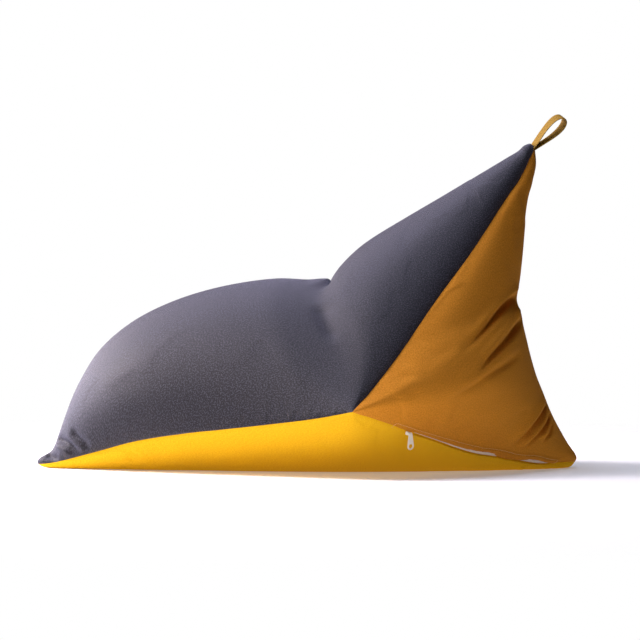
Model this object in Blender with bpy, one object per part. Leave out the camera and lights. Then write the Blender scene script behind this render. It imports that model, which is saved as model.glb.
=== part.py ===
"""Triangular bean bag: three kite-shaped panels sewn corner to corner and filled.

Metres, +Z up. +X runs from the toe to the rear corner, the zip is on the -Y side,
and the origin is on the floor under the middle of the bag.
"""
import math

import bmesh
import bpy
import numpy as np
from mathutils import Matrix, Vector

for old in list(bpy.data.objects):
    bpy.data.objects.remove(old, do_unlink=True)

# Driving sizes
HALF_WIDTH = 0.370          # middle plane to each side corner
SIDE_X = 0.089              # where the two side corners stand, from the middle of the length
SIDE_Z = 0.131
SEAM_BOW = 0.012            # how far a seam bows outwards in plan
CORNER_BLUNT = 0.009        # half the sewn width of a corner tip
CELLS = 44                  # grid cells along each seam
GAP = 0.0003                # free space between two sewn pieces
FLOOR = 0.0

# Middle lines of the panels, x and z
SEAT_LINE = [
    (-0.550, 0.013), (-0.547, 0.020), (-0.533, 0.028), (-0.521, 0.037), (-0.505, 0.075), (-0.485, 0.130),
    (-0.462, 0.180), (-0.423, 0.241), (-0.360, 0.296), (-0.277, 0.339), (-0.173, 0.371),
    (-0.062, 0.387), (0.003, 0.385), (0.030, 0.387), (0.045, 0.386), (0.053, 0.374),
]
BACK_LINE = [
    (0.053, 0.374), (0.055, 0.388), (0.064, 0.406), (0.080, 0.425), (0.107, 0.450),
    (0.136, 0.471), (0.202, 0.511), (0.282, 0.558), (0.347, 0.597), (0.409, 0.634),
    (0.432, 0.648), (0.443, 0.658), (0.456, 0.662), (0.465, 0.654),
]
REAR_LINE = [
    (0.465, 0.654), (0.467, 0.620), (0.461, 0.590), (0.451, 0.546), (0.444, 0.492),
    (0.439, 0.437), (0.433, 0.384), (0.429, 0.362), (0.427, 0.342), (0.436, 0.315),
    (0.440, 0.292), (0.450, 0.255), (0.465, 0.201), (0.479, 0.160), (0.496, 0.116),
    (0.511, 0.086), (0.531, 0.052), (0.548, 0.028), (0.550, 0.021),
]
# Below zero the base presses on the floor and is cut flat there
BASE_LINE = [
    (0.550, 0.021), (0.541, 0.006), (0.510, -0.008), (0.440, -0.018), (0.300, -0.022),
    (0.100, -0.022), (-0.200, -0.022), (-0.400, -0.018), (-0.500, -0.006), (-0.538, 0.004),
    (-0.550, 0.013),
]
REAR_WIDEST = 0.64          # share of the rear line above its widest row
BASE_WIDEST = 0.425         # share of the base line behind its widest row

# Seams from a corner on the middle plane to the side corner: share of the way, x, z
TOE_SEAM = [
    (0, -0.550, 0.013), (0.075, -0.498, 0.019), (0.187, -0.425, 0.039), (0.311, -0.345, 0.061),
    (0.473, -0.240, 0.080), (0.581, -0.171, 0.089), (0.872, 0.012, 0.115), (1, SIDE_X, SIDE_Z),
]
TOP_SEAM = [
    (0, 0.465, 0.654), (0.079, 0.436, 0.596), (0.160, 0.405, 0.552), (0.368, 0.329, 0.440),
    (0.549, 0.259, 0.348), (0.761, 0.182, 0.241), (0.905, 0.127, 0.172), (1, SIDE_X, SIDE_Z),
]
REAR_SEAM = [
    (0, 0.550, 0.021), (0.108, 0.498, 0.0165), (0.167, 0.470, 0.015), (0.238, 0.434, 0.020),
    (0.312, 0.399, 0.028), (0.456, 0.330, 0.0415), (0.636, 0.248, 0.072), (0.788, 0.181, 0.097),
    (1, SIDE_X, SIDE_Z),
]

# How far the sharp bend of each panel's edge at the side corner is rounded further in
ROUNDING = {"top": 0.05, "rear": 0.13, "base": 0.08}

# The seat meets the back along a crease that wanders: across (-1 near side, +1 far side), and
# how far it is drawn towards the toe there
CREASE_DRAW = [
    (-1.00, 0.000), (-0.74, 0.007), (-0.70, 0.013), (-0.62, 0.019), (-0.54, 0.029),
    (-0.44, 0.041), (-0.33, 0.027), (-0.15, 0.009), (0.00, 0.000), (0.20, 0.012),
    (0.38, 0.030), (0.52, 0.034), (0.66, 0.020), (0.82, 0.008), (1.00, 0.000),
]
CREASE_REACH = 0.07         # how far along the panel that draw is felt

# Folds: panel, height (+ ridge, - trough), half width, points (along, across)
FOLDS = [
    ("top", -0.011, 0.013, [
        (0.500, -0.10), (0.500, -0.33), (0.500, -0.44), (0.500, -0.54), (0.500, -0.80)]),
    ("top", 0.010, 0.010, [(0.540, -0.34), (0.527, -0.44), (0.517, -0.54), (0.508, -0.64)]),
    ("top", -0.010, 0.012, [(0.562, -0.36), (0.547, -0.44), (0.533, -0.55), (0.522, -0.65), (0.508, -0.74)]),
    ("top", -0.009, 0.016, [(0.500, -0.68), (0.502, -0.77)]),
    ("top", -0.011, 0.014, [(0.500, 0.16), (0.500, 0.40), (0.500, 0.60), (0.500, 0.80)]),
    ("top", 0.008, 0.011, [(0.538, 0.30), (0.522, 0.46), (0.511, 0.62)]),
    ("top", -0.007, 0.012, [(0.556, 0.36), (0.538, 0.52), (0.520, 0.68)]),
    ("top", -0.007, 0.008, [(0.080, -0.62), (0.086, -0.76), (0.092, -0.90)]),
    ("top", -0.009, 0.007, [(0.046, -0.30), (0.056, -0.56), (0.066, -0.80), (0.074, -0.95)]),
    ("top", 0.006, 0.007, [(0.040, -0.40), (0.050, -0.68), (0.060, -0.90)]),
    ("top", -0.006, 0.006, [(0.021, -0.40), (0.030, -0.78), (0.040, -0.95)]),
    ("top", -0.008, 0.008, [(0.048, 0.25), (0.060, 0.55), (0.072, 0.85)]),
    ("top", -0.006, 0.007, [(0.080, 0.50), (0.094, 0.80)]),
    ("rear", 0.008, 0.011, [
        (0.330, 0.02), (0.333, -0.14), (0.338, -0.31), (0.364, -0.47), (0.398, -0.57)]),
    ("rear", -0.016, 0.010, [
        (0.362, -0.02), (0.362, -0.16), (0.366, -0.31), (0.390, -0.46), (0.424, -0.57)]),
    ("rear", 0.007, 0.009, [
        (0.392, 0.04), (0.396, -0.12), (0.410, -0.30), (0.436, -0.42), (0.462, -0.51)]),
    ("rear", -0.010, 0.008, [
        (0.420, 0.00), (0.424, -0.14), (0.440, -0.31), (0.466, -0.43), (0.488, -0.52)]),
    ("rear", 0.005, 0.007, [(0.382, -0.20), (0.404, -0.25)]),
    ("rear", 0.005, 0.014, [(0.468, -0.32), (0.485, -0.49), (0.517, -0.60), (0.544, -0.69)]),
    ("rear", -0.005, 0.013, [(0.484, -0.28), (0.502, -0.46), (0.534, -0.58)]),
    ("rear", 0.006, 0.010, [
        (0.692, 0.10), (0.700, -0.16), (0.734, -0.37), (0.763, -0.56), (0.782, -0.70)]),
    ("rear", -0.008, 0.008, [
        (0.716, 0.04), (0.724, -0.18), (0.756, -0.38), (0.782, -0.55), (0.800, -0.72)]),
    ("rear", 0.006, 0.007, [(0.745, -0.20), (0.786, -0.40), (0.796, -0.54), (0.818, -0.76)]),
    ("rear", -0.006, 0.006, [(0.772, -0.20), (0.800, -0.38), (0.812, -0.54)]),
    ("rear", 0.008, 0.013, [(0.346, 0.20), (0.360, 0.42), (0.400, 0.60)]),
    ("rear", -0.012, 0.012, [(0.380, 0.28), (0.398, 0.46), (0.436, 0.62)]),
    ("rear", -0.008, 0.011, [(0.724, 0.16), (0.752, 0.42), (0.790, 0.66)]),
    ("rear", 0.006, 0.010, [(0.700, 0.20), (0.726, 0.46), (0.764, 0.66)]),
    ("base", -0.004, 0.010, [(0.835, -0.88), (0.846, -0.66)]),
    ("base", 0.003, 0.006, [(0.120, -0.80), (0.140, -0.62)]),
]

# The zip lies on the near side of the rear seam: shares of the seam from the rear corner
ZIP_START = 0.110
ZIP_END = 0.795
LAP_HEIGHT = 0.0025         # the lap, a hem of the rear panel, stands proud along the zip
LAP_RAMP = 0.03
TAPE_TOP = 0.0005
TAPE_WIDTH = 0.0065
TAPE_THICK = 0.0012
TAPE_CLEAR = 0.0007

# Slider, and the bridge with a post at each end that holds the pull tab
SLIDER_AT = 0.764
SLIDER_LENGTH = 0.012       # along the zip
SLIDER_WIDTH = 0.0086       # down from the seam
SLIDER_HEIGHT = 0.0030      # out of the cloth
SLIDER_TOP_EDGE = 0.0006
SLIDER_SEAT = 0.0016
BRIDGE_AT = 0.0044
BRIDGE_WIDTH = 0.0022
BRIDGE_POST = 0.0018
BRIDGE_GAP = 0.0026
BRIDGE_THICK = 0.0014

# Pull tab: flat, with an eye round one post and a wide hole at its free end; radii
PULL_LENGTH = 0.036
PULL_THICK = 0.0014
PULL_NECK = 0.0042
PULL_END = 0.0076
PULL_EYE = 0.0018
PULL_HOLE = 0.0043
PULL_LEAN = math.radians(9)
PULL_ARC = 8

# Strap loop at the top corner
TOP_CORNER = (0.465, 0.654)
LOOP_LENGTH = 0.083
LOOP_SPREAD = 0.0183
LOOP_LEAN = 0.0024          # how far the loop's outer end stands over its axis
LOOP_ANGLE = math.radians(45)
LOOP_ROOT = 0.72            # how far round the drop shape the strap's ends lie
LOOP_SEAT = 0.0008
LOOP_STEPS = 34
STRAP_WIDTH = 0.020
STRAP_THICK = 0.002
STRAP_SKEW = 0.30           # how far the strap's far edge leans up and to the front at its ends
STRAP_TWIST = 0.14          # how much further it leans at the loop's outer end


def smooth_line(rows, count=801):
    """A soft curve through the rows, as evenly spaced points."""
    rows = np.asarray(rows, float)
    points = np.vstack([2 * rows[0] - rows[1], rows, 2 * rows[-1] - rows[-2]])
    knots = np.r_[0, np.cumsum(np.linalg.norm(np.diff(points, axis=0), axis=1) ** 0.5)]
    pieces = []
    for i in range(1, len(points) - 2):
        t = np.linspace(knots[i], knots[i + 1], 24, endpoint=False)[:, None]
        p = points[i - 1:i + 3]
        k = knots[i - 1:i + 3]
        a = [((k[j + 1] - t) * p[j] + (t - k[j]) * p[j + 1]) / (k[j + 1] - k[j]) for j in range(3)]
        b = [((k[j + 2] - t) * a[j] + (t - k[j]) * a[j + 1]) / (k[j + 2] - k[j]) for j in range(2)]
        pieces.append(((k[2] - t) * b[0] + (t - k[1]) * b[1]) / (k[2] - k[1]))
    return even(np.vstack(pieces + [rows[-1:]]), count)


def even(curve, count=801):
    """The same curve with evenly spaced points."""
    along = np.r_[0, np.cumsum(np.linalg.norm(np.diff(curve, axis=0), axis=1))]
    wanted = np.linspace(0, along[-1], count)
    return np.stack([np.interp(wanted, along, column) for column in curve.T], 1)


def at(curve, share):
    """Points of the curve at shares 0 to 1 of its length."""
    place = np.clip(share, 0, 1) * (len(curve) - 1)
    low = np.minimum(place.astype(int), len(curve) - 2)
    rest = (place - low)[..., None]
    return curve[low] * (1 - rest) + curve[low + 1] * rest


def middle_line(rows):
    return smooth_line([(x, 0.0, z) for x, z in rows])


def seam_line(rows):
    """A seam on the +Y side, blunt at its corner and bowed a little outwards."""
    points = []
    for share, x, z in rows:
        bow = SEAM_BOW * 4 * share * (1 - share)
        points.append((x, HALF_WIDTH * share + bow, z))
    curve = smooth_line(points)
    share = np.linspace(0, 1, len(curve))
    curve[:, 1] += CORNER_BLUNT * (1 - np.exp(-share / 0.012)) * (1 - share) ** 6
    return curve


def joined(first, second):
    """Two lines as one, each taking half of the way."""
    return np.vstack([even(first), even(second)[1:]])


def parted(curve, share):
    cut = int(round(share * (len(curve) - 1)))
    return joined(curve[:cut + 1], curve[cut:])


SEAMS = {"toe": seam_line(TOE_SEAM), "crown": seam_line(TOP_SEAM), "rear": seam_line(REAR_SEAM)}
PANELS = {
    "top": ("toe", "crown", joined(middle_line(SEAT_LINE), middle_line(BACK_LINE))),
    "rear": ("crown", "rear", parted(middle_line(REAR_LINE), REAR_WIDEST)),
    "base": ("rear", "toe", parted(middle_line(BASE_LINE), BASE_WIDEST)),
}


def mean_over(curve, share, reach):
    """Mean of the curve from share - reach to share + reach."""
    steps = len(curve) - 1
    total = np.vstack([np.zeros(3), np.cumsum((curve[1:] + curve[:-1]) / 2 / steps, axis=0)])
    reach = np.maximum(reach, 1e-4)
    low = np.clip(share - reach, 0, 1)
    high = np.clip(share + reach, 0, 1)
    return (at(total, high) - at(total, low)) / (high - low)[..., None]


def crease_draw(along, across):
    """How far each place of the top panel is drawn towards the toe with its crease."""
    path = smooth_line(CREASE_DRAW)
    draw = np.interp(across, path[:, 0], path[:, 1])
    return draw * np.exp(-((along - 0.5) / CREASE_REACH) ** 2)


def round_rows(name, along, across):
    """Each row is a round arc from the near seam over the middle line to the far seam."""
    first, second, middle = PANELS[name]
    edge = np.vstack([SEAMS[first], SEAMS[second][::-1][1:]])
    reach = ROUNDING[name] * (1 - across ** 2) * 4 * along * (1 - along)
    foot = mean_over(edge, along, reach)
    crown = at(middle, along)
    span = (crown - foot)[..., [0, 2]]
    rise = np.maximum(np.linalg.norm(span, axis=-1), 1e-6)
    half = foot[..., 1]
    opening = 2 * np.arctan2(rise, np.maximum(half, 1e-9))
    radius = (half ** 2 + rise ** 2) / (2 * rise)
    angle = across * opening
    lift = radius * (np.cos(angle) - np.cos(opening)) / rise
    points = np.stack([
        foot[..., 0] + lift * span[..., 0],
        radius * np.sin(angle),
        foot[..., 2] + lift * span[..., 1],
    ], -1)
    ends = (along < 1e-9) | (along > 1 - 1e-9)
    points[ends] = crown[ends]
    return points


def grid_places(cells):
    """Where each grid point lies in its panel: along from corner to corner, and across."""
    i, j = np.meshgrid(np.arange(cells + 1), np.arange(cells + 1), indexing="ij")
    along = (i + j) / (2 * cells)
    room = np.maximum(1 - np.abs(2 * along - 1), 1e-9)
    return along, np.clip((j - i) / cells / room, -1, 1)


def outward(points):
    """Unit normals of the grid, pointing out of the bag."""
    normal = np.cross(np.gradient(points, axis=0), np.gradient(points, axis=1))
    normal /= np.maximum(np.linalg.norm(normal, axis=-1, keepdims=True), 1e-12)
    inside = np.array([SIDE_X, 0.0, SIDE_Z])
    if np.sum(normal * (points - inside)) < 0:
        normal = -normal
    return normal


def fold_height(name, points):
    """How far the folds lift or sink each point of the grid."""
    height = np.zeros(points.shape[:2])
    for panel, size, width, path in FOLDS:
        if panel != name:
            continue
        path = smooth_line(path, 40)
        line = round_rows(name, path[:, 0], path[:, 1])
        away = np.linalg.norm(points[:, :, None, :] - line, axis=-1)
        nearest = away.argmin(axis=2) / (len(line) - 1)
        fade = np.clip(np.minimum(nearest, 1 - nearest) / 0.25, 0.0, 1.0) * 0.85 + 0.15
        height += size * fade * np.exp(-0.5 * (away.min(axis=2) / width) ** 2)
    return height


def panel_surface(name, cells=CELLS):
    along, across = grid_places(cells)
    points = round_rows(name, along, across)
    still = np.clip((1 - np.abs(across)) / 0.06, 0, 1)
    lift = fold_height(name, points) * still
    points = points + outward(points) * lift[..., None]
    if name == "top":
        points[..., 0] -= crease_draw(along, across)
    if name == "base":
        points[..., 2] = np.maximum(points[..., 2], FLOOR)
    return points


def seam_walls(seam):
    """The seam from the near side corner round its tip to the far one, the straight line between
    the side corners beside it, and the normals of the wall between the two."""
    half = at(SEAMS[seam], np.arange(CELLS, -1, -1) / CELLS)
    points = np.vstack([half * (1, -1, 1), half[::-1][1:]])
    core = np.full_like(points, SIDE_X)
    core[:, 1] = HALF_WIDTH * np.linspace(-1, 1, 2 * CELLS + 1)
    core[:, 2] = SIDE_Z
    normal = np.cross(np.gradient(points, axis=0), points - core)
    normal[0] = normal[1]
    normal[-1] = normal[-2]
    return points, core, normal / np.linalg.norm(normal, axis=1, keepdims=True)


def wall_outward(points, core, normal):
    """Directions in the wall, square to the seam, that point out of the bag."""
    out = np.cross(np.gradient(points, axis=0), normal)
    out /= np.linalg.norm(out, axis=1, keepdims=True)
    facing = np.sum(out * (points - core), axis=1, keepdims=True)
    return np.where(facing < 0, -out, out)


def zip_lap():
    """Height of the zip lap over the rear seam, from the near side corner to the far one."""
    share = np.arange(CELLS, -1, -1) / CELLS
    rise = np.clip((share - ZIP_START) / LAP_RAMP + 1, 0, 1)
    fall = np.clip((ZIP_END - share) / LAP_RAMP + 1, 0, 1)
    return np.r_[LAP_HEIGHT * rise * fall, np.zeros(CELLS)]


def filled_panel(name):
    """The panel's cloth with the filling behind it, down to the line between the side corners."""
    surface = panel_surface(name)
    index = np.arange((CELLS + 1) ** 2).reshape(CELLS + 1, CELLS + 1)
    borders = (
        np.r_[index[::-1, 0], index[0, 1:]],
        np.r_[index[CELLS, :], index[CELLS - 1::-1, CELLS]],
    )
    vertices = surface.reshape(-1, 3).copy()
    middle = vertices.mean(axis=0)
    inward = []
    wall_tops = []
    for seam, border in zip(PANELS[name][:2], borders):
        points, core, normal = seam_walls(seam)
        if np.dot(middle - points[CELLS], normal[CELLS]) < 0:
            normal = -normal
        points += normal * GAP / 2
        vertices[border] = points
        wall_top = border.copy()
        if (name, seam) == ("rear", "rear"):
            lap = zip_lap()
            raised = np.flatnonzero(lap > 0)
            vertices[border] += wall_outward(points, core, normal) * lap[:, None]
            wall_top[raised] = len(vertices) + np.arange(len(raised))
            vertices = np.vstack([vertices, points[raised]])
        inward.append(normal)
        wall_tops.append(wall_top)
    bisector = inward[0] + inward[1]
    core += bisector * (GAP / np.sum(bisector ** 2, axis=1, keepdims=True))
    near, far = borders[0][0], borders[0][-1]
    vertices[near] = core[0]
    vertices[far] = core[-1]
    core_index = np.r_[near, len(vertices) + np.arange(2 * CELLS - 1), far]
    vertices = np.vstack([vertices, core[1:-1]])
    faces = []
    for i in range(CELLS):
        for j in range(CELLS):
            faces.append([index[i, j], index[i + 1, j], index[i, j + 1]])
            faces.append([index[i + 1, j], index[i + 1, j + 1], index[i, j + 1]])
    for border, top in zip(borders, wall_tops):
        for m in range(2 * CELLS):
            faces.append([border[m], border[m + 1], top[m + 1]])
            faces.append([border[m], top[m + 1], top[m]])
            faces.append([top[m], top[m + 1], core_index[m + 1]])
            faces.append([top[m], core_index[m + 1], core_index[m]])
    faces = [face for face in faces if len(set(face)) == len(face)]
    return solid_mesh(name, vertices, faces)


def solid_mesh(name, vertices, faces):
    """A closed mesh with its faces turned outwards."""
    shape = bmesh.new()
    made = [shape.verts.new(point) for point in vertices]
    for face in faces:
        shape.faces.new([made[i] for i in face])
    bmesh.ops.recalc_face_normals(shape, faces=shape.faces)
    if shape.calc_volume(signed=True) < 0:
        bmesh.ops.reverse_faces(shape, faces=shape.faces)
    mesh = bpy.data.meshes.new(name)
    shape.to_mesh(mesh)
    shape.free()
    return mesh


def swept(name, sections):
    """A solid through a row of sections with the same number of corners."""
    sides = len(sections[0])
    vertices = [corner for section in sections for corner in section]
    faces = [list(range(sides)), list(range(len(vertices) - sides, len(vertices)))]
    for k in range(len(sections) - 1):
        for c in range(sides):
            a = k * sides + c
            b = k * sides + (c + 1) % sides
            faces.append([a, b, b + sides, a + sides])
    return solid_mesh(name, vertices, faces)


def box_mesh(name, low, high):
    corners = [
        [(x, y, z) for y, z in ((low[1], low[2]), (high[1], low[2]), (high[1], high[2]), (low[1], high[2]))]
        for x in (low[0], high[0])
    ]
    return swept(name, corners)


def zip_tape():
    """A strip on the base panel just under the rear seam, where the closed teeth show."""
    surface = panel_surface("base")
    edge = surface[:, 0]
    inner = surface[:, 1] - edge
    inner /= np.linalg.norm(inner, axis=1, keepdims=True)
    normal = np.cross(np.gradient(edge, axis=0), inner)
    normal /= np.linalg.norm(normal, axis=1, keepdims=True)
    if np.dot(normal[CELLS // 2], edge[CELLS // 2] - (SIDE_X, 0.0, SIDE_Z)) < 0:
        normal = -normal
    share = np.arange(CELLS + 1) / CELLS
    sections = []
    for k in np.flatnonzero((share >= ZIP_START) & (share <= ZIP_END)):
        corners = []
        for along, out in ((0, 0), (1, 0), (1, 1), (0, 1)):
            reach = TAPE_TOP + along * TAPE_WIDTH
            rise = TAPE_CLEAR + out * TAPE_THICK
            corners.append(edge[k] + inner[k] * reach + normal[k] * rise)
        sections.append(corners)
    return swept("zip_tape", sections)


def slider_frame():
    """Origin on the rear seam; X along the zip to the rear, Y up from the seam, Z out of the cloth."""
    points, core, normal = seam_walls("rear")
    out = wall_outward(points, core, normal)
    place = (1 - SLIDER_AT) * CELLS
    low = int(place)
    rest = place - low
    origin = Vector(points[low] * (1 - rest) + points[low + 1] * rest)
    along = Vector(points[low + 1] - points[low]).normalized()
    away = Vector(out[low] * (1 - rest) + out[low + 1] * rest)
    up = away.cross(along).normalized()
    away = along.cross(up)
    frame = Matrix((along, up, away)).transposed().to_4x4()
    frame.translation = origin
    return frame


def zip_slider():
    """Slider body with the bridge that holds the pull tab."""
    low = SLIDER_SEAT
    high = SLIDER_SEAT + SLIDER_HEIGHT
    top = high + BRIDGE_GAP
    middle = -SLIDER_TOP_EDGE - SLIDER_WIDTH / 2
    half = SLIDER_LENGTH / 2
    body = add_object("zip_slider", box_mesh(
        "zip_slider",
        (-half, -SLIDER_TOP_EDGE - SLIDER_WIDTH, low),
        (half, -SLIDER_TOP_EDGE, high),
    ), METAL)
    soften = body.modifiers.new("rounded", "BEVEL")
    soften.width = 0.0008
    soften.segments = 2
    outer = BRIDGE_AT + BRIDGE_POST / 2
    inner = BRIDGE_AT - BRIDGE_POST / 2
    sunk = high - 0.0006
    arch = [
        (-outer, sunk), (-outer, top + BRIDGE_THICK), (outer, top + BRIDGE_THICK), (outer, sunk),
        (inner, sunk), (inner, top), (-inner, top), (-inner, sunk),
    ]
    bridge = add_object("bridge_shape", swept("bridge_shape", [
        [(x, middle + side * BRIDGE_WIDTH / 2, z) for x, z in arch] for side in (-1, 1)
    ]), METAL)
    as_guide(bridge)
    join = body.modifiers.new("bridge", "BOOLEAN")
    join.operation = "UNION"
    join.object = bridge
    return body, bridge


def zip_pull(frame):
    """Flat tab that hangs from one post of the bridge: two round ends with straight edges between."""
    down = frame.to_3x3().inverted() @ Vector((0, 0, -1))
    turn = math.atan2(down.y, down.x) + PULL_LEAN
    level = SLIDER_SEAT + SLIDER_HEIGHT + BRIDGE_GAP / 2
    reach = PULL_LENGTH - PULL_NECK - PULL_END
    slope = math.asin((PULL_END - PULL_NECK) / reach)
    rim = []
    for centre, radius, start, stop in (
        (0.0, PULL_NECK, math.pi / 2 + slope, 3 * math.pi / 2 - slope),
        (reach, PULL_END, -math.pi / 2 - slope, math.pi / 2 + slope),
    ):
        for k in range(PULL_ARC + 1):
            angle = start + (stop - start) * k / PULL_ARC
            rim.append((centre + radius * math.cos(angle), radius * math.sin(angle)))
    tab = add_object("zip_pull", swept("zip_pull", [
        [(x, y, side * PULL_THICK / 2) for x, y in rim] for side in (-1, 1)
    ]), METAL)
    cutters = []
    for label, centre, radius in (("eye", 0.0, PULL_EYE), ("hole", reach, PULL_HOLE)):
        ring = [2 * math.pi * k / 16 for k in range(16)]
        cutter = add_object(label + "_shape", swept(label + "_shape", [
            [(centre + radius * math.cos(a), radius * math.sin(a), z) for a in ring]
            for z in (-PULL_THICK, PULL_THICK)
        ]), METAL)
        as_guide(cutter)
        cut = tab.modifiers.new(label, "BOOLEAN")
        cut.operation = "DIFFERENCE"
        cut.object = cutter
        cutters.append(cutter)
    post = Vector((BRIDGE_AT, -SLIDER_TOP_EDGE - SLIDER_WIDTH / 2, level))
    place = frame @ Matrix.Translation(post) @ Matrix.Rotation(turn, 4, "Z")
    for part in [tab] + cutters:
        part.matrix_world = place


def strap_loop():
    """A strap bent into a drop-shaped loop, both ends at the top corner."""
    along = np.array([math.cos(LOOP_ANGLE), 0.0, math.sin(LOOP_ANGLE)])
    across = np.array([-math.sin(LOOP_ANGLE), 0.0, math.cos(LOOP_ANGLE)])
    turn = np.linspace(LOOP_ROOT, 2 * math.pi - LOOP_ROOT, LOOP_STEPS)
    open_share = (1 - np.cos(turn)) / 2
    root_share = open_share[0]
    length = LOOP_LENGTH / (1 - root_share)
    reach = length * (open_share - root_share) + LOOP_SEAT
    spread = (LOOP_SPREAD * np.sin(turn) + LOOP_LEAN) * open_share
    corner = np.array([TOP_CORNER[0], 0.0, TOP_CORNER[1]])
    path = corner + reach[:, None] * along + spread[:, None] * across
    run = np.gradient(path, axis=0)
    normal = np.cross(run, (0.0, 1.0, 0.0))
    normal /= np.linalg.norm(normal, axis=1, keepdims=True)
    skew = STRAP_SKEW + STRAP_TWIST * open_share
    sides = np.stack([-skew, np.ones(LOOP_STEPS), skew], 1) * STRAP_WIDTH / 2
    sections = []
    for point, side, up in zip(path, sides, normal):
        sections.append([
            point + a * side + b * up * STRAP_THICK / 2 for a, b in ((-1, -1), (1, -1), (1, 1), (-1, 1))
        ])
    return swept("handle_loop", sections)


def material(name, colour, roughness, metallic=0.0):
    made = bpy.data.materials.new(name)
    made.use_nodes = True
    shader = made.node_tree.nodes["Principled BSDF"]
    shader.inputs["Base Color"].default_value = (*colour, 1.0)
    shader.inputs["Roughness"].default_value = roughness
    shader.inputs["Metallic"].default_value = metallic
    return made


def add_object(name, mesh, finish):
    made = bpy.data.objects.new(name, mesh)
    bpy.context.scene.collection.objects.link(made)
    mesh.materials.append(finish)
    mesh.shade_smooth()
    mesh.set_sharp_from_angle(angle=math.radians(50))
    return made


def as_guide(shape):
    """A shape that only cuts or joins another one."""
    shape.hide_render = True
    shape.display_type = "WIRE"


CHARCOAL = material("charcoal_cloth", (0.082, 0.075, 0.098), 0.90)
YELLOW = material("yellow_cloth", (0.838, 0.485, 0.020), 0.88)
MUSTARD = material("mustard_cloth", (0.376, 0.143, 0.017), 0.88)
WEBBING = material("ochre_webbing", (0.497, 0.275, 0.060), 0.80)
TAPE = material("zip_tape", (0.620, 0.470, 0.380), 0.70)
METAL = material("painted_metal", (0.720, 0.660, 0.560), 0.35, 0.4)

for panel_name, finish in (("top", CHARCOAL), ("rear", MUSTARD), ("base", YELLOW)):
    add_object(panel_name + "_panel", filled_panel(panel_name), finish)
add_object("zip_tape", zip_tape(), TAPE)
slider_place = slider_frame()
for metal_piece in zip_slider():
    metal_piece.matrix_world = slider_place
zip_pull(slider_place)
add_object("handle_loop", strap_loop(), WEBBING)
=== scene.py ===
# Triangular bean bag lounger: three kite-shaped panels sewn corner to corner and filled tight,
# a strap loop at the raised top corner, and a zip under a stitched lap along the rear seam.
# Metres. +X runs from the low toe to the rear corner, +Z is up and the zip is on the -Y side.
import math

import bmesh
import bpy
import numpy as np
from mathutils import Matrix, Vector


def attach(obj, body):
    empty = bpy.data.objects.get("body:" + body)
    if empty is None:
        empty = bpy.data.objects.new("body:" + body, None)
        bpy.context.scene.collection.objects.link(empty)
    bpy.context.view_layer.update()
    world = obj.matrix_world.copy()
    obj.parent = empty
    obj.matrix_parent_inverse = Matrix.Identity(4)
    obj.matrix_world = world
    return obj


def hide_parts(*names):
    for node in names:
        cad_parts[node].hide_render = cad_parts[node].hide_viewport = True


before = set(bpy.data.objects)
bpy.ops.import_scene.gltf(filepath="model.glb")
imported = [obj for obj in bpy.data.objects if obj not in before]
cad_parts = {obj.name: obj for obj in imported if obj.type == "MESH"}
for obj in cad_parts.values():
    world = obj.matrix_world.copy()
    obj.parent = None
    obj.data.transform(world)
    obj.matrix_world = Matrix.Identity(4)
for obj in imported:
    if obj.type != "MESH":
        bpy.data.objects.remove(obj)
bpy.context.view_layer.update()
mm = 0.001
print("frame loaded:", len(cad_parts), "solids")


def fullTurn(count):  # evenly spaced angles once round
    return np.linspace(0, 2 * math.pi, count, endpoint=False)


def eased(share):  # 3 t^2 - 2 t^3 of a share held between 0 and 1
    share = np.clip(share, 0, 1)
    return share * share * (3 - 2 * share)


def bell(away):  # e^(-x^2)
    return np.exp(-away ** 2)


def powered(wave, power):  # a sine or cosine to a power, its sign kept: round at 1, square towards 0
    return np.sign(wave) * np.abs(wave) ** power


def unit(vectors):  # each vector over its length
    return vectors / np.maximum(np.linalg.norm(vectors, axis=-1, keepdims=True), 1e-12)


def runLength(line):  # how far along the line each of its points lies: the sum of the steps so far
    return np.r_[0, np.cumsum(np.linalg.norm(np.diff(line, axis=0), axis=1))]


def sampled(rows, gone, wanted):  # rows at other run lengths, straight between their neighbours
    return np.stack([np.interp(wanted, gone, column) for column in rows.T], 1)


def evenLine(curve, count=801):  # the same curve with evenly spaced points
    gone = runLength(curve)
    return sampled(curve, gone, np.linspace(0, gone[-1], count))


def softLine(rows, count=801):
    # A centripetal Catmull-Rom curve: each span blends the lines through four rows, with knots
    # spaced by the square root of the distance.
    rows = np.asarray(rows, float)
    points = np.vstack([2 * rows[0] - rows[1], rows, 2 * rows[-1] - rows[-2]])
    knots = np.r_[0, np.cumsum(np.linalg.norm(np.diff(points, axis=0), axis=1) ** 0.5)]
    pieces = []
    for i in range(1, len(points) - 2):
        t = np.linspace(knots[i], knots[i + 1], 24, endpoint=False)[:, None]
        p = points[i - 1:i + 3]
        k = knots[i - 1:i + 3]
        a = [((k[j + 1] - t) * p[j] + (t - k[j]) * p[j + 1]) / (k[j + 1] - k[j]) for j in range(3)]
        b = [((k[j + 2] - t) * a[j] + (t - k[j]) * a[j + 1]) / (k[j + 2] - k[j]) for j in range(2)]
        pieces.append(((k[2] - t) * b[0] + (t - k[1]) * b[1]) / (k[2] - k[1]))
    return evenLine(np.vstack(pieces + [rows[-1:]]), count)


def onLine(curve, share):  # points of an even curve at shares 0 to 1, straight between two of them
    place = np.clip(share, 0, 1) * (len(curve) - 1)
    low = np.minimum(place.astype(int), len(curve) - 2)
    rest = (place - low)[..., None]
    return curve[low] * (1 - rest) + curve[low + 1] * rest


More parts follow.
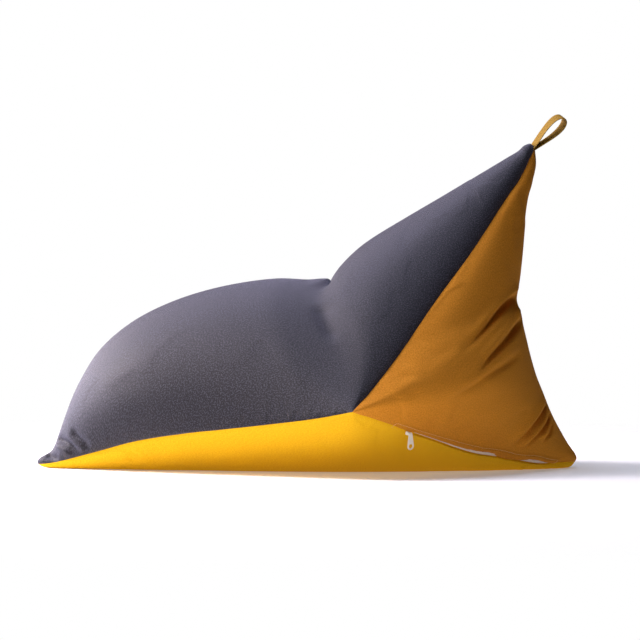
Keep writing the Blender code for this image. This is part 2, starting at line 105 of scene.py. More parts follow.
def meanOver(curve, share, reach):
    # Mean of the curve from share - reach to share + reach: the difference of its running sum.
    steps = len(curve) - 1
    total = np.vstack([np.zeros(3), np.cumsum((curve[1:] + curve[:-1]) / 2 / steps, axis=0)])
    reach = np.maximum(reach, 1e-4)
    low, high = np.clip(share - reach, 0, 1), np.clip(share + reach, 0, 1)
    return (onLine(total, high) - onLine(total, low)) / (high - low)[..., None]


def gridQuads(rows, columns, wrap=False):
    # Faces of a grid of rows by columns of points; wrap joins the last column to the first.
    index = np.arange(rows * columns).reshape(rows, columns)
    if wrap:
        index = np.hstack([index, index[:, :1]])
    return np.stack([index[:-1, :-1], index[1:, :-1], index[1:, 1:], index[:-1, 1:]], -1).reshape(-1, 4)


def turnOutwards(mesh, weld=None):  # all faces point outwards; points closer than weld become one
    shape = bmesh.new()
    shape.from_mesh(mesh)
    if weld:
        bmesh.ops.remove_doubles(shape, verts=shape.verts, dist=weld)
    bmesh.ops.recalc_face_normals(shape, faces=shape.faces)
    shape.to_mesh(mesh)
    shape.free()
    return mesh


def outwardMesh(name, points, faces):  # a closed mesh of these points and faces
    mesh = bpy.data.meshes.new(name)
    mesh.from_pydata(np.asarray(points).tolist(), [], faces)
    return turnOutwards(mesh)


def intoScene(name, data):  # an object for the data, at the origin
    made = bpy.data.objects.new(name, data)
    bpy.context.scene.collection.objects.link(made)
    return made


# The bag's form. Lines are x and z in the middle plane; seams are share of the way, x, z.
bag = {
    "halfWidth": 0.370,
    "side": (0.089, 0.131),  # x and z where the two side corners stand
    "seamBow": 0.012,  # how far a seam bows outwards in plan
    "cornerBlunt": 0.009,  # half the sewn width of a corner tip
    "widest": {"rear": 0.64, "base": 0.425},  # share of the middle line that is level with the corners
    "rounding": {"top": (0.11, 6), "rear": (0.13, 2), "base": (0.08, 2)},  # reach, power of across
    "cells": 300,  # grid cells along each seam
    "crowding": 0.40,  # how much closer the cells lie at the seams
    "floorSoftness": 3 * mm,  # how softly the base rolls onto the floor
    "seatLine": [
        (-0.550, 0.008), (-0.5505, 0.015), (-0.546, 0.021), (-0.533, 0.028), (-0.521, 0.037),
        (-0.505, 0.075), (-0.485, 0.130), (-0.462, 0.180), (-0.423, 0.241), (-0.360, 0.296),
        (-0.277, 0.339), (-0.173, 0.371), (-0.062, 0.387), (0.003, 0.385), (0.030, 0.387),
        (0.045, 0.386), (0.053, 0.374),
    ],
    "backLine": [
        (0.053, 0.374), (0.055, 0.388), (0.064, 0.406), (0.080, 0.425), (0.107, 0.450),
        (0.136, 0.471), (0.202, 0.511), (0.282, 0.558), (0.347, 0.597), (0.409, 0.634),
        (0.432, 0.648), (0.443, 0.658), (0.456, 0.662), (0.465, 0.654),
    ],
    "rearLine": [
        (0.465, 0.654), (0.467, 0.620), (0.461, 0.590), (0.451, 0.546), (0.444, 0.492),
        (0.439, 0.437), (0.433, 0.384), (0.429, 0.362), (0.427, 0.342), (0.436, 0.315),
        (0.440, 0.292), (0.450, 0.255), (0.465, 0.201), (0.479, 0.160), (0.496, 0.116),
        (0.511, 0.086), (0.531, 0.052), (0.547, 0.030), (0.5505, 0.021), (0.548, 0.013),
    ],
    "baseLine": [
        (0.548, 0.013), (0.538, 0.002), (0.510, -0.009), (0.440, -0.018), (0.300, -0.022),
        (0.100, -0.022), (-0.200, -0.022), (-0.400, -0.018), (-0.500, -0.008), (-0.538, 0.001),
        (-0.550, 0.008),
    ],
    "toeSeam": [
        (0, -0.550, 0.008), (0.040, -0.523, 0.011), (0.075, -0.498, 0.017), (0.187, -0.425, 0.038),
        (0.311, -0.345, 0.061), (0.473, -0.240, 0.080), (0.581, -0.171, 0.089), (0.872, 0.012, 0.115),
        (1, 0.089, 0.131),
    ],
    "crownSeam": [
        (0, 0.465, 0.654), (0.079, 0.436, 0.596), (0.160, 0.405, 0.552), (0.368, 0.329, 0.440),
        (0.549, 0.259, 0.348), (0.761, 0.182, 0.241), (0.905, 0.127, 0.172), (1, 0.089, 0.131),
    ],
    "rearSeam": [
        (0, 0.548, 0.013), (0.108, 0.498, 0.0130), (0.167, 0.470, 0.0135), (0.238, 0.434, 0.020),
        (0.312, 0.399, 0.028), (0.456, 0.330, 0.0415), (0.636, 0.248, 0.072), (0.788, 0.181, 0.097),
        (1, 0.089, 0.131),
    ],
    # The crease between seat and back: across, how far it is drawn towards the toe there
    "creaseDraw": [
        (-1.00, 0.000), (-0.86, 0.002), (-0.76, 0.006), (-0.66, 0.013), (-0.55, 0.022),
        (-0.44, 0.028), (-0.33, 0.023), (-0.15, 0.008), (0.00, 0.000), (0.20, 0.012),
        (0.38, 0.030), (0.52, 0.034), (0.66, 0.020), (0.82, 0.008), (1.00, 0.000),
    ],
    "creaseReach": (0.10, 0.07),  # on the seat, on the back
    "creaseSoftness": (0.060, 0.05, 0.34),  # reach of the smoothing, from and to which across it grows
    "creaseWidth": 0.07,  # how far along from the crease the smoothing fades
}


def middleLine(key):  # a soft curve through the rows, in the middle plane
    return softLine([(x, 0.0, z) for x, z in bag[key]])


def seamLine(key):
    # y grows evenly with the share of the way, plus a parabola of seamBow, and the tip is blunt:
    # cornerBlunt times a quick rise and a slow fall.
    rows = bag[key]
    curve = softLine([(x, bag["halfWidth"] * s + bag["seamBow"] * 4 * s * (1 - s), z) for s, x, z in rows])
    share = np.linspace(0, 1, len(curve))
    curve[:, 1] += bag["cornerBlunt"] * (1 - np.exp(-share / 0.012)) * (1 - share) ** 6
    return curve


def joined(first, second):  # two curves as one, its middle where they meet
    return np.vstack([evenLine(first), evenLine(second)[1:]])


def partedAt(name):  # a panel's middle line, spread so that its middle is at the widest share
    curve = middleLine(name + "Line")
    cut = int(round(bag["widest"][name] * (len(curve) - 1)))
    return joined(curve[:cut + 1], curve[cut:])


seams = {name: seamLine(name + "Seam") for name in ("toe", "crown", "rear")}
panels = {
    "top": ("toe", "crown", joined(middleLine("seatLine"), middleLine("backLine"))),
    "rear": ("crown", "rear", partedAt("rear")),
    "base": ("rear", "toe", partedAt("base")),
}


def panelPlaces(cells, crowding):
    # Grid shares crowd towards the seams: t - crowding sin(2 pi t) / 2 pi. Along is the mean of the
    # two shares, across their difference over the room that is left there, from -1 to 1.
    t = np.linspace(0, 1, cells + 1)
    t = t - crowding * np.sin(2 * math.pi * t) / (2 * math.pi)
    p, q = np.meshgrid(t, t, indexing="ij")
    along = (p + q) / 2
    room = np.maximum(1 - np.abs(2 * along - 1), 1e-9)
    return along, np.clip((q - p) / room, -1, 1), t


def roundRows(name, along, across):
    # Each row is a round arc from the near seam over the middle line to the far seam: the chord is
    # twice the seam's y, the rise is from the seams' mean to the middle line. Away from the middle
    # the crease between seat and back is softer: there the middle line is the mean of five means
    # of it over growing reaches.
    first, second, middle = panels[name]
    edge = np.vstack([seams[first], seams[second][::-1][1:]])
    most, power = bag["rounding"][name]
    foot = meanOver(edge, along, most * (1 - across ** power) * 4 * along * (1 - along))
    crown = onLine(middle, along)
    if name == "top":
        most, low, high = bag["creaseSoftness"]
        reach = most * eased((np.abs(across) - low) / (high - low)) * bell((along - 0.5) / bag["creaseWidth"])
        crown = np.mean([meanOver(middle, along, reach * size) for size in (0.2, 0.4, 0.6, 0.8, 1.0)], axis=0)
    span = (crown - foot)[..., [0, 2]]
    rise = np.maximum(np.linalg.norm(span, axis=-1), 1e-6)
    half = foot[..., 1]
    opening = 2 * np.arctan2(rise, np.maximum(half, 1e-9))
    radius = (half ** 2 + rise ** 2) / (2 * rise)
    angle = across * opening
    lift = radius * (np.cos(angle) - np.cos(opening)) / rise
    points = np.stack([
        foot[..., 0] + lift * span[..., 0],
        radius * np.sin(angle),
        foot[..., 2] + lift * span[..., 1],
    ], -1)
    ends = (along < 1e-9) | (along > 1 - 1e-9)
    points[ends] = crown[ends]
    return points, radius * angle


def outwardNormals(points):  # cross product of the two grid directions, turned away from the middle
    normal = unit(np.cross(np.gradient(points, axis=0), np.gradient(points, axis=1)))
    inside = np.array([bag["side"][0], 0.0, bag["side"][1]])
    return normal if np.sum(normal * (points - inside)) > 0 else -normal


def creaseDraw(along, across):  # the drawn-in depth at this across, times a bell along the panel
    path = softLine(bag["creaseDraw"])
    draw = np.interp(across, path[:, 0], path[:, 1])
    return draw * bell((along - 0.5) / np.where(along < 0.5, *bag["creaseReach"]))


# Folds of each panel: height in mm (+ ridge, - trough), half width in mm, points (along, across)
folds = {
    "top": [
        (-2, 20, [(0.500, -0.02), (0.500, -0.20), (0.500, -0.34), (0.500, -0.54), (0.500, -0.74)]),
        (-5, 12, [(0.504, -0.42), (0.502, -0.56), (0.502, -0.72)]),
        (-6, 14, [(0.500, 0.16), (0.500, 0.40), (0.500, 0.60), (0.500, 0.80)]),
        (3, 14, [(0.538, 0.30), (0.522, 0.46), (0.511, 0.62)]),
        (-4, 13, [(0.556, 0.36), (0.538, 0.52), (0.520, 0.68)]),
        (-6, 7, [(0.076, -0.52), (0.084, -0.74), (0.094, -0.98)]),
        (-9, 6, [(0.044, -0.20), (0.056, -0.56), (0.066, -0.80), (0.078, -1.00)]),
        (5, 6, [(0.038, -0.30), (0.049, -0.66), (0.064, -0.98)]),
        (-6, 5, [(0.018, -0.20), (0.029, -0.74), (0.042, -1.00)]),
        (-5, 9, [(0.048, 0.25), (0.060, 0.55), (0.072, 0.85)]),
        (-5, 8, [(0.080, 0.50), (0.094, 0.80)]),
    ],
    "rear": [
        (6, 7, [(0.334, -0.05), (0.335, -0.16), (0.340, -0.31), (0.366, -0.48), (0.412, -0.64)]),
        (-13, 5, [(0.356, -0.05), (0.358, -0.18), (0.366, -0.33), (0.392, -0.49), (0.442, -0.66)]),
        (6, 6, [(0.388, -0.05), (0.394, -0.16), (0.410, -0.31), (0.438, -0.46), (0.482, -0.60)]),
        (-11, 5, [(0.412, -0.05), (0.420, -0.18), (0.440, -0.33), (0.468, -0.47), (0.510, -0.61)]),
        (4, 6, [(0.378, -0.12), (0.394, -0.22), (0.414, -0.27)]),
        (4, 9, [(0.468, -0.24), (0.487, -0.46), (0.517, -0.60), (0.552, -0.74)]),
        (-6, 7, [(0.482, -0.22), (0.503, -0.45), (0.534, -0.60), (0.566, -0.74)]),
        (7, 7, [(0.692, -0.04), (0.704, -0.18), (0.734, -0.37), (0.766, -0.58), (0.796, -0.82)]),
        (-10, 5, [(0.710, -0.02), (0.724, -0.18), (0.754, -0.38), (0.784, -0.58), (0.814, -0.82)]),
        (6, 5, [(0.734, -0.05), (0.750, -0.20), (0.778, -0.38), (0.802, -0.58), (0.832, -0.84)]),
        (-8, 4, [(0.750, -0.05), (0.768, -0.20), (0.796, -0.38), (0.818, -0.58), (0.846, -0.82)]),
        (5, 5, [(0.772, -0.14), (0.812, -0.38), (0.834, -0.58)]),
        (-6, 4, [(0.786, -0.14), (0.828, -0.38), (0.848, -0.58)]),
        (8, 13, [(0.346, 0.20), (0.360, 0.42), (0.400, 0.60)]),
        (-12, 12, [(0.380, 0.28), (0.398, 0.46), (0.436, 0.62)]),
        (-8, 11, [(0.724, 0.16), (0.752, 0.42), (0.790, 0.66)]),
        (6, 10, [(0.700, 0.20), (0.726, 0.46), (0.764, 0.66)]),
    ],
    "base": [
        (-4, 10, [(0.835, -0.88), (0.846, -0.66)]),
        (3, 6, [(0.120, -0.80), (0.140, -0.62)]),
    ],
}


def foldHeight(name, points):
    # Each ridge is a bell across its line, e^(-d^2 / 2 w^2). A trough is 0.6 of a bell and 0.4 of
    # a narrow one, e^(-1.6 (sqrt(d^2 / w^2 + 0.36) - 0.6)). Both fade out over 0.3 of their line.
    height = np.zeros(points.shape[:2])
    for size, width, path in folds[name]:
        path = softLine(path, 160)
        line = roundRows(name, path[:, 0], path[:, 1])[0]
        room = 5 * width * mm
        near = np.all((points > line.min(axis=0) - room) & (points < line.max(axis=0) + room), axis=-1)
        away = np.linalg.norm(points[near][:, None, :] - line, axis=-1)
        nearest = away.argmin(axis=1) / (len(line) - 1)
        away = away.min(axis=1) / (width * mm)
        profile = np.exp(-0.5 * away ** 2)
        if size < 0:
            profile = 0.6 * profile + 0.4 * np.exp(-1.6 * (np.sqrt(away ** 2 + 0.36) - 0.6))
        height[near] += size * mm * eased(np.minimum(nearest, 1 - nearest) / 0.3) * profile
    return height


print("building the three panels")
grids = {}
for name in panels:
    along, across, shares = panelPlaces(bag["cells"], bag["crowding"])
    points, acrossRun = roundRows(name, along, across)
    fold = foldHeight(name, points) * np.clip((1 - np.abs(across)) / 0.06, 0, 1)  # none at the seams
    normal = outwardNormals(points)
    points = points + normal * fold[..., None]
    if name == "top":
        points[..., 0] -= creaseDraw(along, across)
    grids[name] = {
        "along": along, "shares": shares, "points": points, "fold": fold,
        "uv": np.stack([acrossRun, along * runLength(panels[name][2])[-1]], -1), "normal": normal,
    }

# The filling: a closed skin of all three panels is blown up by cloth simulation and gives them its
# waves. The cloth is tight, so they are shallow and smooth, and none run into folds or corners.
filling = {
    "cells": 56,
    "frames": 24,
    "cloth": {
        "quality": 6, "mass": 0.3, "tension_stiffness": 25, "compression_stiffness": 25,
        "shear_stiffness": 12, "bending_stiffness": 0.4, "use_pressure": True,
        "uniform_pressure_force": 4.0, "vertex_group_mass": "sewn", "pin_stiffness": 1.0,
        "shrink_min": -0.035,  # the cloth is this share too large for its seams
    },
    "evenPasses": 40,  # what is left after so many is the even swelling, not a wave
    "smoothPasses": 16,
    "limit": {"top": 0.35 * mm, "rear": 1.0 * mm, "base": 0.7 * mm},
    "foldCalm": 4 * mm,  # waves die away in folds deeper than this
    "creaseCalm": 0.05,  # and this far along from the crease
    "cornerCalm": 0.12,
}


def evened(square, passes):  # each value becomes the mean of its four neighbours, pass by pass
    for _ in range(passes):
        edged = np.pad(square, 1, mode="edge")
        square = (edged[:-2, 1:-1] + edged[2:, 1:-1] + edged[1:-1, :-2] + edged[1:-1, 2:]) / 4
    return square


def fillWithPressure():
    # The panels without their folds are sewn into one skin by merging points that fall together,
    # and it is blown up. What comes back is how far each panel's waves stand out of it, along its
    # normals and less its even swelling, on a square grid.
    cells = filling["cells"]
    plain = {}
    for name in panels:
        along, across, _ = panelPlaces(cells, 0.0)
        plain[name] = roundRows(name, along, across)[0]
        if name == "top":
            plain[name][..., 0] -= creaseDraw(along, across)
    everyPoint = np.vstack([points.reshape(-1, 3) for points in plain.values()])
    _, firsts, place = np.unique(np.round(everyPoint, 5), axis=0, return_index=True, return_inverse=True)
    place = place.reshape(3, -1)
    quads = gridQuads(cells + 1, cells + 1)
    index = np.arange((cells + 1) ** 2).reshape(cells + 1, cells + 1)
    border = np.r_[index[0], index[-1], index[:, 0], index[:, -1]]
    skin = outwardMesh("clothSkin", everyPoint[firsts], np.vstack([row[quads] for row in place]).tolist())
    carrier = intoScene("clothSkin", skin)
    carrier.vertex_groups.new(name="sewn").add(np.unique(place[:, border]).tolist(), 1.0, "REPLACE")
    cloth = carrier.modifiers.new("filling", "CLOTH")
    for key, value in filling["cloth"].items():
        setattr(cloth.settings, key, value)
    cloth.settings.effector_weights.gravity = 0.0
    cloth.collision_settings.use_collision = False
    cloth.point_cache.frame_start = 1
    cloth.point_cache.frame_end = filling["frames"]
    for number in range(1, filling["frames"] + 1):
        bpy.context.scene.frame_set(number)
    seen = carrier.evaluated_get(bpy.context.evaluated_depsgraph_get()).to_mesh()
    after = np.zeros(len(seen.vertices) * 3)
    seen.vertices.foreach_get("co", after)
    after = after.reshape(-1, 3)
    bpy.context.scene.frame_set(1)
    bpy.data.objects.remove(carrier, do_unlink=True)
    waves = {}
    for name, row in zip(panels, place):
        moved = after[row].reshape(plain[name].shape)
        out = np.sum((moved - plain[name]) * outwardNormals(plain[name]), axis=-1)
        waves[name] = out - evened(out, filling["evenPasses"])
        print("  ", name, "waves up to", round(float(np.abs(waves[name]).max() / mm), 1), "mm")
    return waves


def onSquare(square, p, q):  # a value of the square grid at shares p and q, blended from four cells
    count = len(square) - 1
    a, b = p * count, q * count
    i = np.minimum(a.astype(int), count - 1)
    j = np.minimum(b.astype(int), count - 1)
    a, b = a - i, b - j
    return (square[i, j] * (1 - a) * (1 - b) + square[i + 1, j] * a * (1 - b)
            + square[i, j + 1] * (1 - a) * b + square[i + 1, j + 1] * a * b)


print("filling the skin by cloth simulation")
for name, wave in fillWithPressure().items():
    grid = grids[name]
    along, limit = grid["along"], filling["limit"][name]
    p, q = np.meshgrid(grid["shares"], grid["shares"], indexing="ij")
    wave = limit * np.tanh(evened(onSquare(wave, p, q), filling["smoothPasses"]) / limit)
    calm = np.exp(-np.abs(grid["fold"]) / filling["foldCalm"])
    calm = calm * np.clip(np.minimum(along, 1 - along) / filling["cornerCalm"] - 0.2, 0, 1)
    if name == "top":
        calm = calm * (1 - bell((along - 0.5) / filling["creaseCalm"]))
    grid["points"] += grid["normal"] * (wave * calm)[..., None]

# How each panel is sewn in: its edge is drawn into the bag at the seam, and puckers a little
sewing = {
    "drawIn": 2.2 * mm,
    "reach": 4.5 * mm,
    "pucker": 0.35 * mm,
    "puckerReach": 14 * mm,
    "puckerWaves": (19 * mm, 31 * mm, 53 * mm),
}


def coreLine(share, side):  # points of the straight line between the side corners
    return np.stack([
        np.full(len(share), bag["side"][0]),
        side * bag["halfWidth"] * share,
        np.full(len(share), bag["side"][1]),
    ], 1)


def seamWall(seam, share, side):
    # The wall under a seam runs to the straight line between the side corners. Gives the seam's
    # points and the direction in the wall, square to the seam, that points out of the bag.
    before, points, after = (onLine(seams[seam], share + step) * (1, side, 1) for step in (-0.002, 0, 0.002))
    run = unit(after - before)
    out = points - coreLine(share, side)
    return points, unit(out - np.sum(out * run, axis=1, keepdims=True) * run)


def softFloor(height):  # a soft clamp at the floor: half of z + sqrt(z^2 + softness^2)
    return 0.5 * (height + np.sqrt(height ** 2 + bag["floorSoftness"] ** 2))


def seamWaves(gone, seed):  # pucker height along a seam: the mean of three sines of uneven length
    draw = np.random.default_rng(seed)
    total = np.zeros_like(gone)
    for length in sewing["puckerWaves"]:
        phase, drift = draw.uniform(0, 2 * math.pi, 2)
        total += np.sin(2 * math.pi * gone / length + phase + 1.3 * np.sin(gone / 0.09 + drift))
    return total / len(sewing["puckerWaves"])


print("sewing the seams in")
for name, grid in grids.items():
    first, second, _ = panels[name]
    points, shares = grid["points"], grid["shares"]
    if name == "base":
        points[..., 2] = softFloor(points[..., 2])
    # border: seam, side, share of the seam from its corner, the border's own points, its grid axis
    borders = [
        (first, -1, shares, points[:, 0][:, None], (slice(None), None)),
        (first, 1, shares, points[0, :][None, :], (None, slice(None))),
        (second, -1, 1 - shares, points[-1, :][None, :], (None, slice(None))),
        (second, 1, 1 - shares, points[:, -1][:, None], (slice(None), None)),
    ]
    pull = np.zeros_like(points)
    weight = np.zeros(points.shape[:2])
    pucker = np.zeros(points.shape[:2])
    for seam, side, share, line, spread in borders:
        away = np.linalg.norm(points - line, axis=-1)
        out = seamWall(seam, share, side)[1][spread]
        ends = (np.clip((1 - share) / 0.03, 0, 1) * np.clip(share / 0.05, 0, 1))[spread]
        near = np.exp(-(away / sewing["reach"]) ** 1.3)
        pull += -sewing["drawIn"] * (near * ends)[..., None] * out
        weight += near
        seed = 11 * list(seams).index(seam) + (side > 0) * 5 + len(name)
        ripple = seamWaves(share * runLength(seams[seam])[-1], seed)
        ripple = (ripple * np.clip(np.minimum(share, 1 - share) / 0.06, 0, 1))[spread]
        pucker += ripple * sewing["pucker"] * (away / sewing["reach"]) * np.exp(-away / sewing["puckerReach"])
    points += pull / np.maximum(weight, 1)[..., None]
    points += grid["normal"] * pucker[..., None]
    if name == "base":
        points[..., 2] = np.maximum(points[..., 2], 0.05 * mm)

# The zip on the near rear seam, by shares of the seam from the rear corner. The lap, a hem of the
# rear cloth, is lifted out there, and slides up to show the tape or hangs over it.
zipper = {
    "start": 0.110,
    "end": 0.795,
    "lap": [  # share, lap width and how far its edge hangs below the seam, mm
        (0.110, 14, 0.5), (0.130, 15, -1.5), (0.170, 19, -6.5), (0.204, 22, -9.0), (0.230, 22, -6.5),
        (0.258, 20, -1.2), (0.285, 18, 1.8), (0.310, 18, 2.6), (0.340, 20, 2.2), (0.367, 22, -1.0),
        (0.390, 23, -6.5), (0.411, 23, -9.5), (0.440, 22, -8.0), (0.480, 21, -5.6), (0.550, 18, -3.4),
        (0.620, 15, -2.0), (0.690, 13, -1.4), (0.735, 12, -1.0), (0.752, 12, 1.2), (0.795, 12, 1.4),
    ],
    "lapHeight": 3.6 * mm,
    "lapRamp": 0.03,  # share of the seam over which the lap rises at its ends
    "lapStep": 0.9 * mm,  # how sharply it falls at its upper edge
    "stitchIn": 2.2 * mm,  # stitch line inside the lap's upper edge
    "groove": (3.2 * mm, 2.3 * mm),  # its depth and half width
    "hangReach": 2.4 * mm,
    "gap": (7.0 * mm, 3.8 * mm),  # how deep the base's edge lies under the tape, and how wide
    "gapEnd": 0.745,
    "gapRamp": 0.03,
    "downReach": 14 * mm,  # how far into the base its direction is measured
    "tape": (-13.0 * mm, 0.2 * mm),  # from above the seam, under the lap, to below it
    "tapeInset": 3.2 * mm,  # from the stitch line to its upper edge, at least
    "tapeTucked": -1.5 * mm,  # its lower edge where the lap hangs over the seam
    "tuckedFrom": (-1.2 * mm, 0.4 * mm),  # the heights of the lap's edge between which it is tucked in
    "tapeThick": 1.2 * mm,
    "tapeLift": 0.2 * mm,
    "tapeBulge": 1.0 * mm,
    "tooth": (1.4 * mm, 4.4 * mm, 0.55 * mm),  # pitch, length and half thickness
    "sliderAt": 0.764,
}
reachCells = 40  # rows of the two grids that lie near the zip


def atReach(points, field, reach):
    # Where the field, growing from the seam inwards along the second axis, meets each reach.
    count = np.clip((field[:, None] < reach[:, :, None]).sum(axis=-1), 1, field.shape[1] - 1)
    low, high = np.take_along_axis(field, count - 1, 1), np.take_along_axis(field, count, 1)
    share = np.clip((reach - low) / np.maximum(high - low, 1e-9), 0, 1)[..., None]
    before = np.take_along_axis(points, (count - 1)[..., None], 1)
    after = np.take_along_axis(points, count[..., None], 1)
    return before * (1 - share) + after * share


def turnRear(points):  # the rear grid by the near rear seam: from the rear corner, from the seam in
    return points[::-1][:reachCells].transpose(1, 0, 2)[::-1]


seamShare = grids["base"]["shares"]
lapShare, lapWidth, lapEdge = np.array(zipper["lap"]).T
lapWidth, lapEdge = (np.interp(seamShare, lapShare, row) * mm for row in (lapWidth, lapEdge))
lapOut = seamWall("rear", seamShare, -1)[1]
lapMask = eased(np.clip((seamShare - zipper["start"]) / zipper["lapRamp"] + 1, 0, 1)
                * np.clip((zipper["end"] - seamShare) / zipper["lapRamp"] + 1, 0, 1))
lapEdge = lapEdge * lapMask

# The base's edge dips under the tape: gap depth times e^(-(distance / width)^3)
baseNear = grids["base"]["points"][:, :reachCells]
baseField = np.linalg.norm(baseNear - baseNear[:, :1], axis=2)
baseNormal = outwardNormals(grids["base"]["points"])[:, :reachCells]
downBase = atReach(baseNear, baseField, np.full((len(seamShare), 1), zipper["downReach"]))[:, 0]
downBase = unit(downBase - baseNear[:, 0])
deep, wide = zipper["gap"]
dip = (deep * np.clip((seamShare - zipper["start"]) / zipper["gapRamp"], 0, 1)
       * np.clip((zipper["gapEnd"] - seamShare) / zipper["gapRamp"], 0, 1))

# What lies under the lap first stays as the tape's bed. The lap is the same cloth, slid up by its
# edge's height, lifted with a slope up to its stitched edge, and let down over the base where it hangs.
bed = turnRear(grids["rear"]["points"]).copy()
bedField = np.linalg.norm(bed - bed[:, :1], axis=2)
bedEdge = atReach(bed, bedField, np.maximum(-lapEdge, 0)[:, None])[:, 0] - 0.2 * mm * lapOut
baseNear -= lapOut[:, None] * (dip[:, None] * np.exp(-(baseField / wide) ** 3))[..., None]
slide = np.maximum(-lapEdge, 0)[:, None] * (1 - eased(bedField / (0.9 * lapWidth[:, None])))
lap = atReach(bed, bedField, bedField + slide)
ledge = 1 / (1 + np.exp(np.clip((bedField - lapWidth[:, None]) / zipper["lapStep"], -30, 30)))
grooveDepth, grooveWidth = zipper["groove"]
groove = grooveDepth * bell((bedField - lapWidth[:, None] + zipper["stitchIn"]) / grooveWidth)
lean = 0.25 + 1.5 * np.clip(bedField / lapWidth[:, None], 0, 1)
drawn = sewing["drawIn"] * np.exp(-((bedField + slide) / sewing["reach"]) ** 1.3)
lift = (zipper["lapHeight"] * lean + drawn) * ledge - groove
lap += lapOut[:, None] * (lift * lapMask[:, None])[..., None]
hang = np.maximum(lapEdge, 0)[:, None] * bell(bedField / zipper["hangReach"])
lap += downBase[:, None] * hang[..., None]
grids["rear"]["points"][-reachCells:] = lap[::-1].transpose(1, 0, 2)[::-1]
rearNormal = turnRear(outwardNormals(grids["rear"]["points"]))


def smoothShaded(mesh, angle):  # smooth, but sharp where faces meet at more than the angle
    mesh.shade_smooth()
    mesh.set_sharp_from_angle(angle=math.radians(angle))
    return mesh


def finishMesh(name, points, faces, uv=None, angle=55):  # uv: metres across and along the cloth
    mesh = outwardMesh(name, points, faces)
    if uv is not None:
        layer = mesh.uv_layers.new(name="cloth")
        corners = np.zeros(len(mesh.loops), int)
        mesh.loops.foreach_get("vertex_index", corners)
        layer.data.foreach_set("uv", np.asarray(uv, np.float32)[corners].ravel())
    return smoothShaded(mesh, angle)


def addPiece(name, mesh, finish, nodes=()):  # a piece with its finish, slot and nodes
    piece = intoScene(name, mesh)
    mesh.materials.append(finish)
    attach(piece, "root")
    if nodes:
        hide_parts(*nodes)
    return piece


def tubeMesh(name, rings, uv=None, angle=55):
    # rings: sections by corners by 3, closed round each section and by a pole at each end.
    rows, columns = rings.shape[:2]
    points = np.vstack([rings.reshape(-1, 3), rings[0].mean(0), rings[-1].mean(0)])
    ring = np.arange(columns)
    last = (rows - 1) * columns
    caps = np.vstack([
        np.stack([np.full(columns, rows * columns), ring, np.roll(ring, -1)], 1),
        np.stack([np.full(columns, rows * columns + 1), last + np.roll(ring, -1), last + ring], 1)])
    if uv is not None:
        uv = np.vstack([uv.reshape(-1, 2), uv[0].mean(0), uv[-1].mean(0)])
    return finishMesh(name, points, gridQuads(rows, columns, wrap=True).tolist() + caps.tolist(), uv, angle)


def wallFaces(upper, lower):  # quads between two rows of points, triangles where two points are one
    made = []
    for a, b, c, d in zip(upper[:-1], upper[1:], lower[1:], lower[:-1]):
        corners = list(dict.fromkeys((int(a), int(b), int(c), int(d))))
        if len(corners) > 2:
            made.append(corners)
    return made


def panelMesh(name, grid):
    # The cloth's grid, closed by walls from its four edges to the line between the side corners.
    count = len(grid["shares"])
    index = np.arange(count * count).reshape(count, count)
    points = grid["points"].reshape(-1, 3)
    uv = grid["uv"].reshape(-1, 2)
    faces = gridQuads(count, count).tolist()
    first, second, _ = panels[name]
    rims = (
        (np.r_[index[::-1, 0], index[0, 1:]], first),
        (np.r_[index[-1, :], index[-2::-1, -1]], second),
    )
    side = np.r_[-np.ones(count), np.ones(count - 1)]
    core = coreLine(np.r_[grid["shares"][::-1], grid["shares"][1:]], side)[1:-1]
    coreIndex = np.r_[rims[0][0][0], len(points) + np.arange(len(core)), rims[0][0][-1]]
    points = np.vstack([points, core])
    uv = np.vstack([uv, np.zeros((len(core), 2))])
    for rim, seam in rims:
        strip = rim
        if name == "rear" and seam == "rear":  # under the lap: to its bed, then to the seam
            raised = np.flatnonzero(np.r_[lapMask[::-1], np.zeros(count - 1)] > 0)
            for row in (bedEdge[::-1], bed[::-1, 0]):
                under = strip.copy()
                under[raised] = len(points) + np.arange(len(raised))
                points = np.vstack([points, row[raised]])
                uv = np.vstack([uv, uv[rim[raised]]])
                faces += wallFaces(strip, under)
                strip = under
        faces += wallFaces(strip, coreIndex)
    return finishMesh(name + "Cloth", points, faces, uv)


def linear(text):
    # sRGB hex to linear: c / 12.92 below 0.04045, else ((c + 0.055) / 1.055) ^ 2.4
    channels = [int(text[k:k + 2], 16) / 255 for k in (1, 3, 5)]
    return tuple(c / 12.92 if c <= 0.04045 else ((c + 0.055) / 1.055) ** 2.4 for c in channels) + (1.0,)


def addNode(tree, kind, inputs=None, **settings):  # a node; inputs are numbers, colours or links
    node = tree.nodes.new("ShaderNode" + kind)
    for name, value in settings.items():
        setattr(node, name, value)
    for name, value in (inputs or {}).items():
        if isinstance(value, bpy.types.NodeSocket):
            tree.links.new(value, node.inputs[name])
        else:
            node.inputs[name].default_value = value
    return node


def startMaterial(name, **numbers):  # its shader with these numbers; an underscore stands for a space
    made = bpy.data.materials.new(name)
    made.use_nodes = True
    shader = made.node_tree.nodes["Principled BSDF"]
    for socket, value in numbers.items():
        shader.inputs[socket.replace("_", " ")].default_value = value
    return made, made.node_tree, shader


